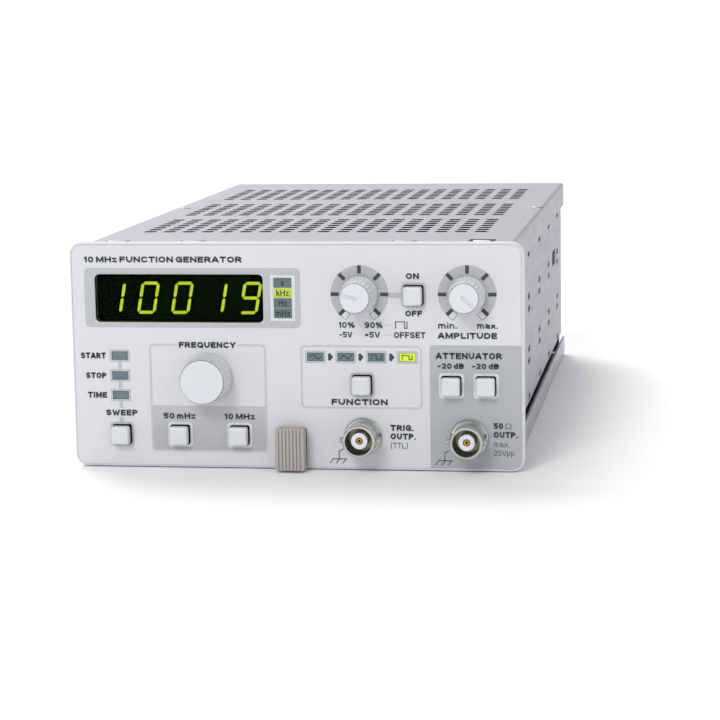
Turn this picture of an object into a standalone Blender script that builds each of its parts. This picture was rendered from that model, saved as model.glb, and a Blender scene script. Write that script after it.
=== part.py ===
"""Plug-in function generator module: a sheet-metal case behind a moulded front panel
with a five-digit display, push keys, rotary knobs, two coaxial sockets and a pull latch.

Metres, +X to the right seen from the front, +Y to the rear, +Z up. The origin lies under
the middle of the bounding box, on the surface that the bottom tray stands on.
Places on the panel are (x, height), with the height counted from the panel's lower edge.
A reach is a distance in front of the panel's face, and a depth is a distance behind it.
"""

import math

import bmesh
import bpy
from mathutils import Matrix, Vector

# ---- driving dimensions -------------------------------------------------------------
PANEL_WIDTH = 0.1350
PANEL_HEIGHT = 0.0673
PANEL_THICKNESS = 0.0035
PANEL_CORNER = 0.0036
PANEL_LIFT = 0.0003  # the panel's lower edge above the standing surface
RIM_WIDTH = 0.0005  # plain rim round the printed face
CASE_DEPTH = 0.2280  # panel face to the rear edge of the cover
PLUG_REACH = 0.0085  # edge plug beyond the case
KNOB_REACH = 0.0100  # longest knob in front of the panel
SHEET = 0.0008  # case metal
COVER_WIDTH = 0.1284
COVER_TOP = 0.0668
COVER_LIP = 0.0083
WALL_WIDTH = 0.1266  # over the two side walls
WALL_FOOT = 0.0079  # lower edge of the side walls, above the tray's lips
WALL_FLANGE = 0.0065  # flat part of the walls' inward fold
TRAY_WIDTH = 0.1290
TRAY_LIP = 0.0072
BEND = 0.0010  # outer radius of the cover's and the tray's folds
WALL_BEND = 0.0010  # outer radius of the walls' folds
GAP = 0.0003  # between pieces that touch
FINE_GAP = 0.00015  # round windows and lamps set into the panel

FACE_Y = (KNOB_REACH - CASE_DEPTH - PLUG_REACH) / 2

# ---- front panel layout: (x, height) -------------------------------------------------
WINDOW_CENTRE = (-0.0346, 0.05075)
WINDOW_SIZE = (0.0506, 0.0141)
WINDOW_CORNER = 0.0012
INDICATOR_CENTRE = (-0.00331, 0.05095)
INDICATOR_SIZE = (0.0067, 0.0129)
LAMP_SIZE = (0.0046, 0.0022)
LAMPS = {
    "led_start": (-0.05306, 0.0335),
    "led_stop": (-0.05306, 0.0275),
    "led_time": (-0.05306, 0.0216),
    "led_sine": (0.0061, 0.0336),
    "led_triangle": (0.01515, 0.0336),
    "led_square": (0.0242, 0.0336),
    "led_pulse": (0.03335, 0.0336),
}
KEYS = {
    "sweep": (-0.0530, 0.0098),
    "frequency_down": (-0.03515, 0.0099),
    "frequency_up": (-0.0171, 0.0099),
    "function": (0.0199, 0.0254),
    "offset_on": (0.0354, 0.05195),
    "attenuator_a": (0.04625, 0.0253),
    "attenuator_b": (0.0564, 0.0253),
}
KEY_SIZE = 0.0054
KEY_HOLE = 0.0060
KEY_REACH = 0.0035
KEY_CAP_LENGTH = 0.0029
PLUNGER_SIZE = 0.0042
PLUNGER_END = 0.0095
SWITCH_SIZE = 0.0074
SWITCH_DEPTHS = (0.0070, 0.0156)
SWITCH_BORE = (0.0050, 0.0135)  # width and end depth of the plunger's channel

# name: centre, base radius, front radius, reach, angle of the index from the top, clockwise
KNOBS = {
    "frequency": ((-0.0262, 0.0272), 0.0073, 0.00665, 0.0095, None),
    "offset": ((0.0195, 0.05215), 0.0055, 0.0045, 0.0100, -74.5),
    "amplitude": ((0.0511, 0.0522), 0.0055, 0.0045, 0.0100, 131.0),
}
KNOB_CLEARANCE = 0.0006  # knob's rear rim in front of the panel
SHAFT_RADIUS = 0.0020
BUSHING_RADIUS = 0.0035
BUSHING_HOLE = 0.0040
POT_RADIUS = 0.0060
POT_DEPTHS = (0.0062, 0.0156)

SOCKETS = {
    "trigger": (0.0200, 0.0101),
    "output": (0.0514, 0.0100),
}
SOCKET_REACH = 0.0095
SOCKET_BARREL = 0.0048
SOCKET_BORE = 0.00405
SOCKET_FLANGE = 0.0056
SOCKET_CORE = 0.0027  # channel for the insulator through the body
INSULATOR_RADIUS = 0.0024
CONTACT_RADIUS = 0.0008

LATCH_X = -0.00108
GRIP_SIZE = (0.00885, 0.01285)
GRIP_REACHES = (0.0020, 0.0060)
GRIP_STUB = (0.0077, 0.0105)
GRIP_GROOVES = 7
GROOVE_PITCH = 0.00106
BAR_SIZE = 0.0036
BAR_HEIGHT = 0.0044
BAR_END = 0.0440
SPRING_DEPTHS = (0.0156, 0.0320)

# ---- boards, frame and vents ----------------------------------------------------------
FRAME_DEPTHS = (0.0038, 0.0048)
FRONT_BOARD_DEPTHS = (0.0160, 0.0176)
BOARD_THICKNESS = 0.0016
BOARD_HEIGHT = 0.0091  # underside of the main board
TONGUE_WIDTH = 0.0580  # 22-pole edge plug
REAR_DEPTHS = (0.2264, 0.2272)
VENT_COLUMNS = 18
VENT_COLUMN_PITCH = 0.0061
VENT_SLOT = (0.0038, 0.0422)
VENT_SHIFT = -0.0007  # of the whole pattern, to the left
VENT_BANDS = (0.0594, 0.1160, 0.1778)  # depth of the middle of each band of slots
WALL_SLOT = (0.0078, 0.0019)
WALL_SLOT_DEPTHS = (0.0265, 0.0710, 0.1155, 0.1600, 0.2045)
WALL_SLOT_HEIGHTS = (0.0103, 0.0217, 0.0257, 0.0387, 0.0427, 0.0565)

FRONT = Matrix.Rotation(math.pi / 2, 4, "X")  # outline in X and Z, thickness along Y
SIDE = Matrix(((0, 0, 1, 0), (1, 0, 0, 0), (0, 1, 0, 0), (0, 0, 0, 1)))  # outline in Y, Z
FLAT = Matrix.Identity(4)  # outline in X and Y, thickness along Z


# ---- scene and helpers ------------------------------------------------------------------
for old in list(bpy.data.objects):
    bpy.data.objects.remove(old, do_unlink=True)

PARTS = bpy.data.collections.new("function_generator")
CUTTERS = bpy.data.collections.new("cutters")
for collection in (PARTS, CUTTERS):
    bpy.context.scene.collection.children.link(collection)


def look(name, colour, roughness, metallic=0.0):
    """A plain Principled material."""
    made = bpy.data.materials.new(name)
    made.use_nodes = True
    shader = made.node_tree.nodes["Principled BSDF"]
    shader.inputs["Base Color"].default_value = (*colour, 1.0)
    shader.inputs["Roughness"].default_value = roughness
    shader.inputs["Metallic"].default_value = metallic
    made.diffuse_color = (*colour, 1.0)
    return made


PANEL_LOOK = look("panel_plastic", (0.74, 0.75, 0.77), 0.45)
WINDOW_LOOK = look("window_acrylic", (0.02, 0.03, 0.02), 0.12)
DISPLAY_LOOK = look("display_body", (0.03, 0.03, 0.03), 0.6)
LAMP_LOOK = look("lamp_plastic", (0.15, 0.22, 0.23), 0.35)
LIT_LAMP_LOOK = look("lit_lamp_plastic", (0.60, 0.78, 0.03), 0.35)
KEY_LOOK = look("key_plastic", (0.70, 0.71, 0.73), 0.4)
DARK_LOOK = look("black_plastic", (0.02, 0.02, 0.02), 0.5)
KNOB_LOOK = look("knob_plastic", (0.80, 0.80, 0.81), 0.4)
STEEL_LOOK = look("zinc_plated_steel", (0.56, 0.56, 0.58), 0.38, 1.0)
NICKEL_LOOK = look("nickel_plated_brass", (0.66, 0.63, 0.58), 0.2, 1.0)
PTFE_LOOK = look("white_insulator", (0.85, 0.85, 0.84), 0.4)
GOLD_LOOK = look("gold_contact", (0.90, 0.62, 0.22), 0.22, 1.0)
GRIP_LOOK = look("grip_plastic", (0.43, 0.41, 0.39), 0.5)
COVER_LOOK = look("painted_cover", (0.57, 0.57, 0.61), 0.45, 0.6)
BOARD_LOOK = look("circuit_board", (0.03, 0.18, 0.08), 0.45)
ALUMINIUM_LOOK = look("aluminium", (0.72, 0.72, 0.73), 0.35, 1.0)


def add(name, mesh, material):
    obj = bpy.data.objects.new(name, mesh)
    mesh.name = name
    mesh.materials.append(material)
    PARTS.objects.link(obj)
    return obj


def as_cutter(obj):
    """Moves a shape to the cutters, where it is only a tool for a Boolean."""
    PARTS.objects.unlink(obj)
    CUTTERS.objects.link(obj)
    obj.hide_render = True
    obj.display_type = "WIRE"
    return obj


def boolean(obj, operation, tool):
    modifier = obj.modifiers.new(tool.name, "BOOLEAN")
    modifier.operation = operation
    modifier.solver = "EXACT"
    modifier.object = as_cutter(tool)


def rounded(obj, radius, segments=2):
    """Rounds the sharp edges."""
    modifier = obj.modifiers.new("rounding", "BEVEL")
    modifier.width = radius
    modifier.segments = segments
    modifier.limit_method = "ANGLE"
    modifier.angle_limit = math.radians(40)


def smooth(obj, angle=35):
    obj.data.shade_smooth()
    obj.data.set_sharp_from_angle(angle=math.radians(angle))


def box(name, x, y, z, material, radius=0.0):
    """A box between two values on each axis, its origin in its middle."""
    lows, highs = Vector((x[0], y[0], z[0])), Vector((x[1], y[1], z[1]))
    mesh = bpy.data.meshes.new(name)
    shape = bmesh.new()
    bmesh.ops.create_cube(shape, size=1.0)
    bmesh.ops.scale(shape, vec=highs - lows, verts=shape.verts)
    shape.to_mesh(mesh)
    shape.free()
    obj = add(name, mesh, material)
    obj.location = (lows + highs) / 2
    if radius:
        rounded(obj, radius)
    return obj


def around(centre, width, height):
    """The x and z spans of a rectangle on the panel."""
    x, z = centre[0], centre[1] + PANEL_LIFT
    return (x - width / 2, x + width / 2), (z - height / 2, z + height / 2)


def panel_box(name, centre, size, depths, material, radius=0.0):
    """A box behind or in front of a rectangle on the panel."""
    x, z = around(centre, *size)
    y = (FACE_Y + depths[0], FACE_Y + depths[1])
    return box(name, x, y, z, material, radius)


def rectangle(width, height, centre=(0.0, 0.0), radius=0.0, steps=3):
    """The outline of a rectangle, with arcs at its corners if it has a radius."""
    corners = ((1, 1), (-1, 1), (-1, -1), (1, -1))
    points = []
    for quarter, (side_x, side_y) in enumerate(corners):
        middle_x = centre[0] + side_x * (width / 2 - radius)
        middle_y = centre[1] + side_y * (height / 2 - radius)
        for step in range(steps + 1 if radius else 1):
            angle = math.radians(90 * (quarter + step / steps))
            points.append((middle_x + radius * math.cos(angle), middle_y + radius * math.sin(angle)))
    return points


def circle(radius, centre, sides=28):
    angles = [2 * math.pi * side / sides for side in range(sides)]
    return [(centre[0] + radius * math.cos(a), centre[1] + radius * math.sin(a)) for a in angles]


def plate(name, outlines, facing, centre, thickness, material):
    """A flat sheet: the first outline is its edge, and the others are its holes."""
    curve = bpy.data.curves.new(name, "CURVE")
    curve.dimensions = "2D"
    curve.fill_mode = "BOTH"
    curve.extrude = thickness / 2
    for points in outlines:
        spline = curve.splines.new("POLY")
        spline.points.add(len(points) - 1)
        for point, (x, y) in zip(spline.points, points):
            point.co = (x, y, 0.0, 1.0)
        spline.use_cyclic_u = True
    flat = bpy.data.objects.new(name + "_outline", curve)
    PARTS.objects.link(flat)
    flat.matrix_world = Matrix.Translation(centre) @ facing
    graph = bpy.context.evaluated_depsgraph_get()
    mesh = bpy.data.meshes.new_from_object(flat.evaluated_get(graph))
    shape = bmesh.new()
    shape.from_mesh(mesh)
    bmesh.ops.remove_doubles(shape, verts=shape.verts, dist=1e-6)
    bmesh.ops.recalc_face_normals(shape, faces=shape.faces)
    shape.to_mesh(mesh)
    shape.free()
    mesh.materials.clear()
    obj = add(name, mesh, material)
    obj.matrix_world = flat.matrix_world.copy()
    bpy.data.objects.remove(flat, do_unlink=True)
    return obj


def panel_plate(name, outlines, depths, material):
    """A sheet parallel to the panel, whose outlines are places on the panel."""
    centre = (0.0, FACE_Y + sum(depths) / 2, PANEL_LIFT)
    return plate(name, outlines, FRONT, centre, depths[1] - depths[0], material)


def turned(name, profile, place, material, steps=32, closed=False):
    """A turned shape on an axis through the panel. The profile is (radius, reach), front to rear."""
    mesh = bpy.data.meshes.new(name)
    count = len(profile)
    edges = [(i, (i + 1) % count) for i in range(count if closed else count - 1)]
    mesh.from_pydata([(radius, 0.0, reach) for radius, reach in profile], edges, [])
    obj = add(name, mesh, material)
    obj.matrix_world = Matrix.Translation((place[0], FACE_Y, PANEL_LIFT + place[1])) @ FRONT
    screw = obj.modifiers.new("turn", "SCREW")
    screw.steps = steps
    screw.render_steps = steps
    screw.use_merge_vertices = True
    screw.merge_threshold = 1e-5
    screw.use_smooth_shade = True
    return obj


def fold(obj, side, along, pivot, turn, length):
    """Bends the sheet's edge face on one side round an axis, and draws it out by a length.

    side is the local direction of the edge face, along the fold's axis, pivot a point on
    that axis, turn the signed quarter angle, and length a vector.
    """
    shape = bmesh.new()
    shape.from_mesh(obj.data)
    reach = max(vert.co.dot(side) for vert in shape.verts)
    edge_faces = [
        face for face in shape.faces if all(abs(vert.co.dot(side) - reach) < 1e-6 for vert in face.verts)
    ]
    geometry = edge_faces + [e for f in edge_faces for e in f.edges] + [v for f in edge_faces for v in f.verts]
    spun = bmesh.ops.spin(
        shape, geom=list(dict.fromkeys(geometry)), cent=pivot, axis=along, angle=turn, steps=3
    )
    last = [item for item in spun["geom_last"] if isinstance(item, bmesh.types.BMFace)]
    drawn = bmesh.ops.extrude_face_region(shape, geom=last)
    moved = [item for item in drawn["geom"] if isinstance(item, bmesh.types.BMVert)]
    bmesh.ops.translate(shape, vec=length, verts=moved)
    bmesh.ops.delete(shape, geom=last, context="FACES_ONLY")
    bmesh.ops.recalc_face_normals(shape, faces=shape.faces)
    shape.to_mesh(obj.data)
    shape.free()


# ---- front panel --------------------------------------------------------------------------
def front_panel():
    """Moulded panel with a rounded front rim, a groove inside the rim and openings for everything on it."""
    panel = panel_blank()
    through = (-0.001, PANEL_THICKNESS + 0.001)
    boolean(panel, "DIFFERENCE", panel_plate("panel_openings", panel_openings(), through, PANEL_LOOK))
    middle = (0.0, PANEL_HEIGHT / 2)
    groove_width, groove_depth = 0.0002, 0.0002
    outlines = []
    for inset in (RIM_WIDTH, RIM_WIDTH + groove_width):
        size = (PANEL_WIDTH - 2 * inset, PANEL_HEIGHT - 2 * inset)
        outlines.append(rectangle(*size, middle, PANEL_CORNER - inset, 6))
    boolean(panel, "DIFFERENCE", panel_plate("rim_groove", outlines, (-0.001, groove_depth), PANEL_LOOK))


def panel_blank():
    """A block with rounded corners, and a smaller rounding round the edge of its face."""
    x, z = around((0.0, PANEL_HEIGHT / 2), PANEL_WIDTH, PANEL_HEIGHT)
    blank = box("front_panel", x, (FACE_Y, FACE_Y + PANEL_THICKNESS), z, PANEL_LOOK)
    shape = bmesh.new()
    shape.from_mesh(blank.data)
    corners = [edge for edge in shape.edges if abs(edge.verts[0].co.y - edge.verts[1].co.y) > 1e-6]
    bmesh.ops.bevel(
        shape, geom=corners, offset=PANEL_CORNER, segments=6, profile=0.5, affect="EDGES"
    )
    face_rim = [edge for edge in shape.edges if all(vert.co.y < 0 for vert in edge.verts)]
    bmesh.ops.bevel(shape, geom=face_rim, offset=0.0004, segments=3, profile=0.5, affect="EDGES")
    shape.to_mesh(blank.data)
    shape.free()
    return blank


def panel_openings():
    """Outlines of the openings: display, unit symbols, latch, lamps, keys, shafts and sockets."""

    def with_gap(size, gap):
        return size[0] + 2 * gap, size[1] + 2 * gap

    outlines = [
        rectangle(*with_gap(WINDOW_SIZE, FINE_GAP), WINDOW_CENTRE, WINDOW_CORNER + FINE_GAP),
        rectangle(*with_gap(INDICATOR_SIZE, FINE_GAP), INDICATOR_CENTRE),
        rectangle(*with_gap(GRIP_STUB, GAP), grip_centre()),
    ]
    outlines += [rectangle(*with_gap(LAMP_SIZE, FINE_GAP), place) for place in LAMPS.values()]
    outlines += [rectangle(KEY_HOLE, KEY_HOLE, place, 0.0006, 2) for place in KEYS.values()]
    outlines += [circle(BUSHING_HOLE, knob[0], 20) for knob in KNOBS.values()]
    outlines += [circle(SOCKET_BARREL + GAP, place, 24) for place in SOCKETS.values()]
    return outlines


def display():
    """Tinted window, the digit module behind it and the block with the unit symbols."""
    outline = rectangle(*WINDOW_SIZE, WINDOW_CENTRE, WINDOW_CORNER)
    panel_plate("display_window", [outline], (0.0002, 0.0016), WINDOW_LOOK)
    panel_plate("display_module", [outline], (0.0024, 0.0157), DISPLAY_LOOK)
    panel_box("unit_indicator", INDICATOR_CENTRE, INDICATOR_SIZE, (0.0001, 0.0157), PANEL_LOOK)


def lamps():
    for name, place in LAMPS.items():
        material = LIT_LAMP_LOOK if name == "led_pulse" else LAMP_LOOK
        panel_box(name, place, LAMP_SIZE, (0.0001, 0.0157), material)


# ---- keys -------------------------------------------------------------------------------------
def keys():
    """Each key is a light cap on a dark plunger that runs in a fixed switch body."""
    for name, place in KEYS.items():
        cap_rear = KEY_REACH - KEY_CAP_LENGTH
        cap_size = (KEY_SIZE, KEY_SIZE)
        panel_box(f"{name}_key", place, cap_size, (-KEY_REACH, -cap_rear), KEY_LOOK, 0.0006)
        plunger_size = (PLUNGER_SIZE, PLUNGER_SIZE)
        plunger_depths = (GAP - cap_rear, PLUNGER_END)
        panel_box(f"{name}_plunger", place, plunger_size, plunger_depths, DARK_LOOK)
        body_size = (SWITCH_SIZE, SWITCH_SIZE)
        body = panel_box(f"{name}_switch", place, body_size, SWITCH_DEPTHS, DARK_LOOK)
        bore_size = (SWITCH_BORE[0], SWITCH_BORE[0])
        bore_depths = (SWITCH_DEPTHS[0] - 0.001, SWITCH_BORE[1])
        boolean(body, "DIFFERENCE", panel_box(f"{name}_bore", place, bore_size, bore_depths, DARK_LOOK))


# ---- knobs --------------------------------------------------------------------------------------
def knobs():
    for name, (place, base, front, reach, index_angle) in KNOBS.items():
        bore = SHAFT_RADIUS + GAP
        bore_end = reach - 0.0014
        edge = 0.0007
        profile = [
            (0.0, reach),
            (front - edge, reach),
            (front - 0.3 * edge, reach - 0.3 * edge),
            (front, reach - edge),
            (base, KNOB_CLEARANCE + 0.0012),
            (base, KNOB_CLEARANCE),
            (bore, KNOB_CLEARANCE),
            (bore, bore_end),
            (0.0, bore_end),
        ]
        knob = turned(f"{name}_knob", profile, place, KNOB_LOOK)
        if index_angle is not None:
            boolean(knob, "DIFFERENCE", index_slot(name, place, front, reach, index_angle))
        shaft = [
            (0.0, bore_end - GAP),
            (SHAFT_RADIUS, bore_end - GAP),
            (SHAFT_RADIUS, -0.0135),
            (0.0, -0.0135),
        ]
        turned(f"{name}_shaft", shaft, place, STEEL_LOOK, 20)
        socket = [
            (0.0, -0.0140),
            (bore, -0.0140),
            (bore, -0.0008),
            (BUSHING_RADIUS, -0.0008),
            (BUSHING_RADIUS, -POT_DEPTHS[0]),
            (POT_RADIUS, -POT_DEPTHS[0]),
            (POT_RADIUS, -POT_DEPTHS[1]),
            (0.0, -POT_DEPTHS[1]),
        ]
        kind = "encoder" if index_angle is None else "potentiometer"
        turned(f"{name}_{kind}", socket, place, DARK_LOOK, 24)


def index_slot(name, place, front, reach, angle):
    """A notch from near the middle of the knob's face out through its rim, at an angle from the top."""
    slot = box(f"{name}_index", (-0.0006, 0.0006), (-0.0005, 0.0010), (0.0016, front + 0.002), DARK_LOOK)
    centre = Vector((place[0], FACE_Y - reach, PANEL_LIFT + place[1]))
    turn = Matrix.Rotation(math.radians(angle), 4, "Y")
    slot.matrix_world = Matrix.Translation(centre) @ turn @ Matrix.Translation(slot.location)
    return slot


# ---- coaxial sockets --------------------------------------------------------------------------------
def sockets():
    for name, place in SOCKETS.items():
        shell = [
            (SOCKET_BORE, SOCKET_REACH),
            (SOCKET_BARREL - 0.0002, SOCKET_REACH),
            (SOCKET_BARREL, SOCKET_REACH - 0.0002),
            (SOCKET_BARREL, 0.0016),
            (SOCKET_FLANGE - 0.0003, 0.0016),
            (SOCKET_FLANGE, 0.0013),
            (SOCKET_FLANGE, GAP),
            (SOCKET_BARREL, GAP),
            (SOCKET_BARREL, -0.0056),
            (SOCKET_BARREL - 0.0008, -0.0062),
            (SOCKET_BARREL - 0.0008, -0.0130),
            (SOCKET_CORE, -0.0130),
            (SOCKET_CORE, 0.0010),
            (SOCKET_BORE, 0.0010),
        ]
        body = turned(f"{name}_socket_shell", shell, place, NICKEL_LOOK, 28, closed=True)
        for side in (-1, 1):
            boolean(body, "UNION", bayonet_pin(name, place, side))
        channel = CONTACT_RADIUS + GAP
        insulator = [
            (channel, SOCKET_REACH - 0.0014),
            (INSULATOR_RADIUS, SOCKET_REACH - 0.0014),
            (INSULATOR_RADIUS, -0.0135),
            (channel, -0.0135),
        ]
        turned(f"{name}_socket_insulator", insulator, place, PTFE_LOOK, 20, closed=True)
        contact = [
            (0.0, SOCKET_REACH - 0.0036),
            (0.0003, SOCKET_REACH - 0.0036),
            (0.0004, SOCKET_REACH - 0.0016),
            (CONTACT_RADIUS, SOCKET_REACH - 0.0016),
            (CONTACT_RADIUS, -0.0152),
            (0.0, -0.0152),
        ]
        turned(f"{name}_socket_contact", contact, place, GOLD_LOOK, 12)


def bayonet_pin(name, place, side):
    """One of the two pins on the barrel that the cable's plug locks onto."""
    inner, outer, radius = SOCKET_BARREL - 0.0004, 0.0059, 0.0009
    mesh = bpy.data.meshes.new(f"{name}_pin")
    shape = bmesh.new()
    bmesh.ops.create_cone(
        shape, cap_ends=True, segments=12, radius1=radius, radius2=radius, depth=outer - inner
    )
    shape.to_mesh(mesh)
    shape.free()
    pin = add(f"{name}_pin_{'left' if side < 0 else 'right'}", mesh, NICKEL_LOOK)
    pin.rotation_euler = (0.0, math.pi / 2, 0.0)
    pin.location = (place[0] + side * (inner + outer) / 2, FACE_Y - 0.0066, PANEL_LIFT + place[1])
    return pin


# ---- latch ----------------------------------------------------------------------------------------------
def grip_centre():
    return (LATCH_X, GRIP_SIZE[1] / 2 + 0.0003)


def latch():
    """Pull grip on a spring-loaded bar that runs under the main board."""
    near, far = GRIP_REACHES
    grip = panel_box("latch_grip", grip_centre(), GRIP_SIZE, (-far, -near), GRIP_LOOK, 0.0007)
    stub = panel_box("grip_stub", grip_centre(), GRIP_STUB, (-near - 0.001, 0.0030), GRIP_LOOK)
    boolean(grip, "UNION", stub)
    for number in range(GRIP_GROOVES):
        offset = (number - (GRIP_GROOVES - 1) / 2) * GROOVE_PITCH
        place = (LATCH_X + offset, grip_centre()[1])
        groove_size = (0.0004, GRIP_SIZE[1] + 0.002)
        groove = panel_box(f"groove_{number}", place, groove_size, (-far - 0.001, 0.0004 - far), GRIP_LOOK)
        boolean(grip, "DIFFERENCE", groove)

    half = BAR_SIZE / 2
    bar_x = (LATCH_X - half, LATCH_X + half)
    bar_z = (BAR_HEIGHT - half, BAR_HEIGHT + half)
    bar = box("latch_bar", bar_x, (FACE_Y + 0.0033, FACE_Y + BAR_END), bar_z, STEEL_LOOK)
    collar = box(
        "bar_collar",
        (LATCH_X - 0.0032, LATCH_X + 0.0032),
        (FACE_Y + SPRING_DEPTHS[1] + GAP, FACE_Y + SPRING_DEPTHS[1] + 0.0018),
        (BAR_HEIGHT - 0.0030, BAR_HEIGHT + 0.0030),
        STEEL_LOOK,
    )
    boolean(bar, "UNION", collar)
    latch_guide()
    latch_spring()


def latch_guide():
    """Block on the tray that the bar slides through."""
    span = (FACE_Y + 0.0060, FACE_Y + 0.0100)
    guide = box("latch_guide", (LATCH_X - 0.006, LATCH_X + 0.006), span, (SHEET + GAP, 0.0084), DARK_LOOK)
    half = BAR_SIZE / 2 + GAP
    bore = box(
        "guide_bore",
        (LATCH_X - half, LATCH_X + half),
        (span[0] - 0.001, span[1] + 0.001),
        (BAR_HEIGHT - half, BAR_HEIGHT + half),
        DARK_LOOK,
    )
    boolean(guide, "DIFFERENCE", bore)


def latch_spring():
    """Compression spring round the bar, a helix of round wire."""
    turns, points_per_turn, radius, wire = 7, 10, 0.00288, 0.0005
    count = turns * points_per_turn
    start, end = (FACE_Y + depth for depth in SPRING_DEPTHS)
    curve = bpy.data.curves.new("latch_spring", "CURVE")
    curve.dimensions = "3D"
    curve.bevel_depth = wire / 2
    curve.bevel_resolution = 1
    curve.use_fill_caps = True
    spline = curve.splines.new("POLY")
    spline.points.add(count)
    for number, point in enumerate(spline.points):
        angle = 2 * math.pi * number / points_per_turn
        along = start + wire / 2 + (end - start - wire) * number / count
        x, z = LATCH_X + radius * math.cos(angle), BAR_HEIGHT + radius * math.sin(angle)
        point.co = (x, along, z, 1.0)
    curve.materials.append(STEEL_LOOK)
    PARTS.objects.link(bpy.data.objects.new("latch_spring", curve))


# ---- case ---------------------------------------------------------------------------------------------
def vent_slots(columns, pitch):
    """Slots along the case, in columns across it and bands along it."""
    return [
        rectangle(*VENT_SLOT, (VENT_SHIFT + (column - (columns - 1) / 2) * pitch, FACE_Y + band))
        for band in VENT_BANDS
        for column in range(columns)
    ]


def folded_case_sheet(name, width, holes, height, lip, upward, material):
    """A sheet over the case's depth, with its two long edges folded down or up into lips."""
    start, end = FACE_Y + PANEL_THICKNESS + GAP, FACE_Y + CASE_DEPTH
    flat_width = width - 2 * BEND
    outline = rectangle(flat_width, end - start, (0.0, (start + end) / 2))
    sheet = plate(name, [outline, *holes], FLAT, (0.0, 0.0, height), SHEET, material)
    rise = 1 if upward else -1
    bend_centre = rise * (BEND - SHEET / 2)
    for side in (-1, 1):
        fold(
            sheet,
            Vector((side, 0, 0)),
            Vector((0, 1, 0)),
            Vector((side * flat_width / 2, 0, bend_centre)),
            -side * rise * math.pi / 2,
            Vector((0, 0, rise * (lip - BEND))),
        )
    smooth(sheet)
    return sheet


def top_cover():
    slots = vent_slots(VENT_COLUMNS, VENT_COLUMN_PITCH)
    height = COVER_TOP - SHEET / 2
    folded_case_sheet("top_cover", COVER_WIDTH, slots, height, COVER_LIP, False, COVER_LOOK)


def bottom_tray():
    slots = vent_slots(VENT_COLUMNS // 2, 2 * VENT_COLUMN_PITCH)
    folded_case_sheet("bottom_tray", TRAY_WIDTH, slots, SHEET / 2, TRAY_LIP, True, STEEL_LOOK)


def side_walls():
    """Slotted walls whose lower edges are folded inwards and carry the main board."""
    start, end = FACE_Y + 0.0052, FACE_Y + REAR_DEPTHS[0] - GAP
    top = COVER_TOP - BEND - GAP
    foot = WALL_FOOT + WALL_BEND
    outline = rectangle(end - start, top - foot, ((start + end) / 2, (top + foot) / 2))
    slots = [
        rectangle(*WALL_SLOT, (FACE_Y + depth, PANEL_LIFT + height))
        for depth in WALL_SLOT_DEPTHS
        for height in WALL_SLOT_HEIGHTS
    ]
    slots.append(rectangle(0.0150, 0.0055, (FACE_Y + 0.1860, PANEL_LIFT + 0.0423), 0.0015, 3))
    for name, side in (("left_side_wall", -1), ("right_side_wall", 1)):
        middle = side * (WALL_WIDTH - SHEET) / 2
        wall = plate(name, [outline, *slots], SIDE, (middle, 0.0, 0.0), SHEET, COVER_LOOK)
        fold(
            wall,
            Vector((0, -1, 0)),
            Vector((1, 0, 0)),
            Vector((0, foot, -side * (WALL_BEND - SHEET / 2))),
            -side * math.pi / 2,
            Vector((0, 0, -side * WALL_FLANGE)),
        )


def rear_panel():
    """Rear wall with the opening for the edge plug and a field of vent slots."""
    width = WALL_WIDTH - 2 * SHEET
    low, high = SHEET + GAP, COVER_TOP - SHEET - GAP
    outlines = [rectangle(width, high - low, (0.0, (low + high) / 2))]
    outlines.append(rectangle(TONGUE_WIDTH + 0.004, 0.0120, (0.0, BOARD_HEIGHT + BOARD_THICKNESS / 2)))
    for row in range(3):
        for column in range(8):
            place = ((column - 3.5) * 0.0125, 0.0360 + row * 0.0080)
            outlines.append(rectangle(0.0090, 0.0030, place))
    for side in (-1, 1):
        outlines.append(circle(0.0018, (side * 0.0540, 0.0250), 16))
    centre = (0.0, FACE_Y + sum(REAR_DEPTHS) / 2, 0.0)
    plate("rear_panel", outlines, FRONT, centre, REAR_DEPTHS[1] - REAR_DEPTHS[0], STEEL_LOOK)


def front_frame():
    """Metal sub-panel that the sockets and controls are fixed to."""
    low, high = SHEET + GAP - PANEL_LIFT, COVER_TOP - SHEET - GAP - PANEL_LIFT
    width = WALL_WIDTH - 2 * SHEET
    outlines = [rectangle(width, high - low, (0.0, (low + high) / 2))]
    outlines.append(rectangle(WINDOW_SIZE[0] + 0.001, WINDOW_SIZE[1] + 0.001, WINDOW_CENTRE))
    outlines.append(rectangle(INDICATOR_SIZE[0] + 0.001, INDICATOR_SIZE[1] + 0.001, INDICATOR_CENTRE))
    outlines += [rectangle(LAMP_SIZE[0] + 0.001, LAMP_SIZE[1] + 0.001, place) for place in LAMPS.values()]
    outlines += [rectangle(KEY_HOLE, KEY_HOLE, place) for place in KEYS.values()]
    outlines += [circle(BUSHING_RADIUS + GAP, knob[0], 20) for knob in KNOBS.values()]
    outlines += [circle(SOCKET_BARREL + GAP, place, 24) for place in SOCKETS.values()]
    bar = BAR_SIZE + 4 * GAP
    outlines.append(rectangle(bar, bar, (LATCH_X, BAR_HEIGHT - PANEL_LIFT)))
    panel_plate("front_frame", outlines, FRAME_DEPTHS, STEEL_LOOK)


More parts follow.
